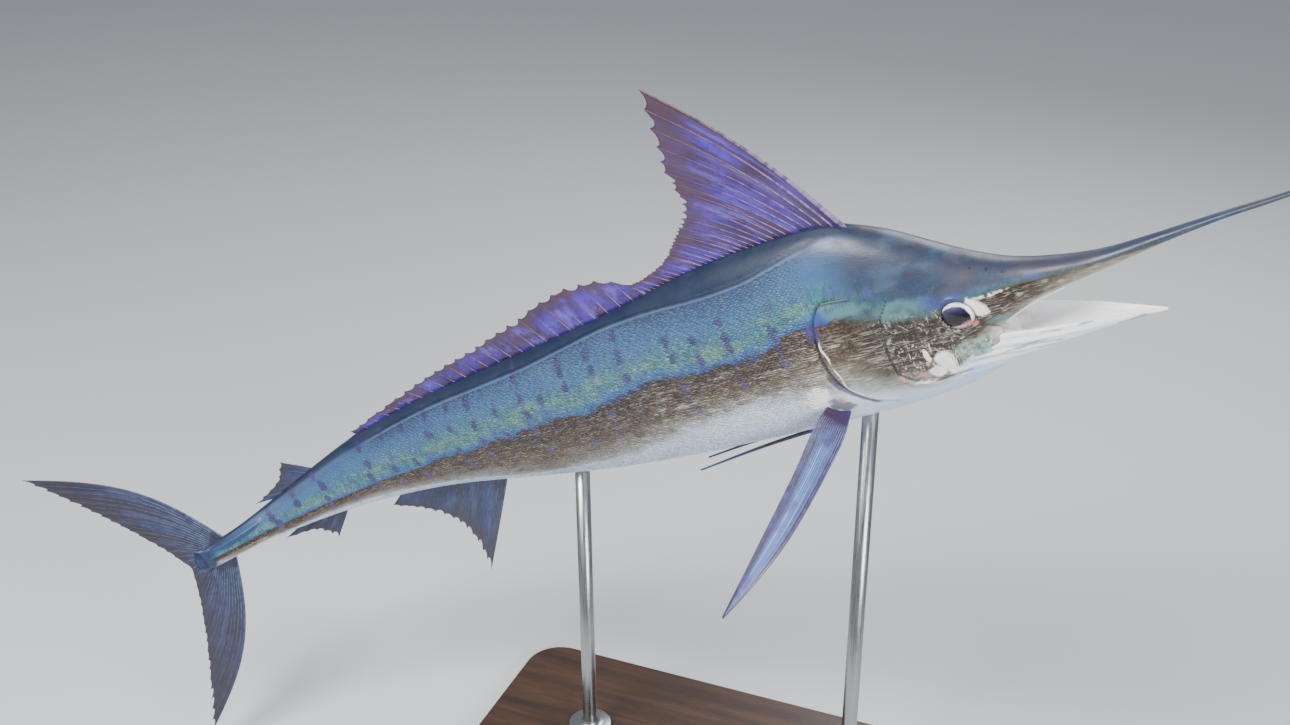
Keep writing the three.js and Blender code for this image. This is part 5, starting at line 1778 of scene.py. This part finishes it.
def board(name, node):
    """A board with round corners. Its profile tells how far each ring is set in, and its z."""
    low, high = box_of(node)
    middle, half = (low + high) / 2, (high - low) / 2
    turn = np.linspace(0, np.pi / 2, CORNER_STEPS)
    turns = np.concatenate([turn + k * np.pi / 2 for k in range(4)])
    x = middle[0] + np.repeat([1, -1, -1, 1], CORNER_STEPS) * (half[0] - BOARD_CORNER)
    y = middle[1] + np.repeat([1, 1, -1, -1], CORNER_STEPS) * (half[1] - BOARD_CORNER)
    profile = [(inset, low[2] + rise) for inset, rise in BOARD_FOOT]
    for a in np.linspace(0, np.pi / 2, EDGE_STEPS):
        profile.append((BOARD_EDGE * (1 - math.cos(a)), high[2] - BOARD_EDGE * (1 - math.sin(a))))
    profile.append((BOARD_EDGE + 1.5, high[2]))
    rings = [level_ring(x, y, BOARD_CORNER - inset, turns, z) for inset, z in profile]
    stand_piece(name, rings, WOOD, node)


def rod(name, node):
    """A turned rod on a round foot."""
    low, high = box_of(node)
    middle = (low + high) / 2
    turn = np.linspace(0, 2 * np.pi, ROD_SIDES, endpoint=False)
    profile = [(r, low[2] + rise) for r, rise in ROD_FOOT] + [(ROD_RADIUS, high[2])]
    rings = [level_ring(middle[0], middle[1], r, turn, z) for r, z in profile]
    stand_piece(name, rings, STEEL, node)


board("stand_board", "stand_base")
rod("stand_post_front", "stand_rod_front")
rod("stand_post_rear", "stand_rod_rear")

# %% [markdown]
# ## Floor, light and camera
# A plain pale floor under a faint blue sky. A big soft light stands high on the camera's left, a
# weaker one on its right lifts the shadows, and a third behind the fish brightens its edge. The
# camera stands where the photograph was taken from: a little ahead of the fish on its right side,
# looking down on it.

# %% Floor and light
FLOOR_HALF = 12.0
SKY_COLOUR, SKY_STRENGTH = (0.86, 0.91, 1.0, 1), 0.38
LAMPS = [  # name, place, what it is aimed at, width in m, power in W, colour
    ("key", (-1.6, -2.6, 4.6), (0, 0, 0.95), 2.4, 410, (1.0, 0.98, 0.95)),
    ("fill", (3.4, -2.2, 2.4), (0, 0, 0.9), 2.2, 150, (0.92, 0.96, 1.0)),
    ("rim", (0.6, 3.2, 3.2), (0, 0, 1.0), 2.4, 80, (0.95, 0.98, 1.0))]

floor_mesh = bpy.data.meshes.new("floor")
floor_mesh.from_pydata(
    [(FLOOR_HALF * x, FLOOR_HALF * y, 0) for x, y in ((-1, -1), (1, -1), (1, 1), (-1, 1))],
    [], [(0, 1, 2, 3)])
floor_mesh.materials.append(Finish("floor_paint", 0.75).done("c9cccf"))
floor = bpy.data.objects.new("floor", floor_mesh)
bpy.context.scene.collection.objects.link(floor)

world = bpy.data.worlds.new("studio")
bpy.context.scene.world = world
world.use_nodes = True
sky = world.node_tree.nodes["Background"].inputs
sky["Color"].default_value, sky["Strength"].default_value = SKY_COLOUR, SKY_STRENGTH


def area_light(name, at, aim, size, watts, colour):
    """A round soft light at a place, turned to what it is aimed at."""
    data = bpy.data.lights.new(name, "AREA")
    data.shape, data.size, data.energy, data.color = "DISK", size, watts, colour
    lamp = bpy.data.objects.new(name, data)
    lamp.location = at
    lamp.rotation_euler = (Vector(aim) - Vector(at)).to_track_quat("-Z", "Y").to_euler()
    bpy.context.scene.collection.objects.link(lamp)


for lamp in LAMPS:
    area_light(*lamp)
print("the lamps give", sum(lamp[4] for lamp in LAMPS), "W together")

# %% Camera
AIM = Vector((-0.098, 0.043, 0.932))
CAMERA_AZIMUTH, CAMERA_ELEVATION = math.radians(22.7), math.radians(26.7)
CAMERA_DISTANCE, CAMERA_ROLL, LENS, SENSOR = 2.857, math.radians(-0.5), 41.55, 36.0

view_way = Vector((
    -math.sin(CAMERA_AZIMUTH) * math.cos(CAMERA_ELEVATION),
    math.cos(CAMERA_AZIMUTH) * math.cos(CAMERA_ELEVATION), -math.sin(CAMERA_ELEVATION)))
camera_data = bpy.data.cameras.new("camera")
camera_data.sensor_width, camera_data.lens = SENSOR, LENS
camera = bpy.data.objects.new("camera", camera_data)
bpy.context.scene.collection.objects.link(camera)
camera.location = AIM - view_way * CAMERA_DISTANCE
camera.rotation_euler = (
    view_way.to_track_quat("-Z", "Y").to_matrix() @ Matrix.Rotation(CAMERA_ROLL, 3, "Z")).to_euler()
bpy.context.scene.camera = camera
print("the camera stands", round(camera.location.z, 2), "m above the floor")
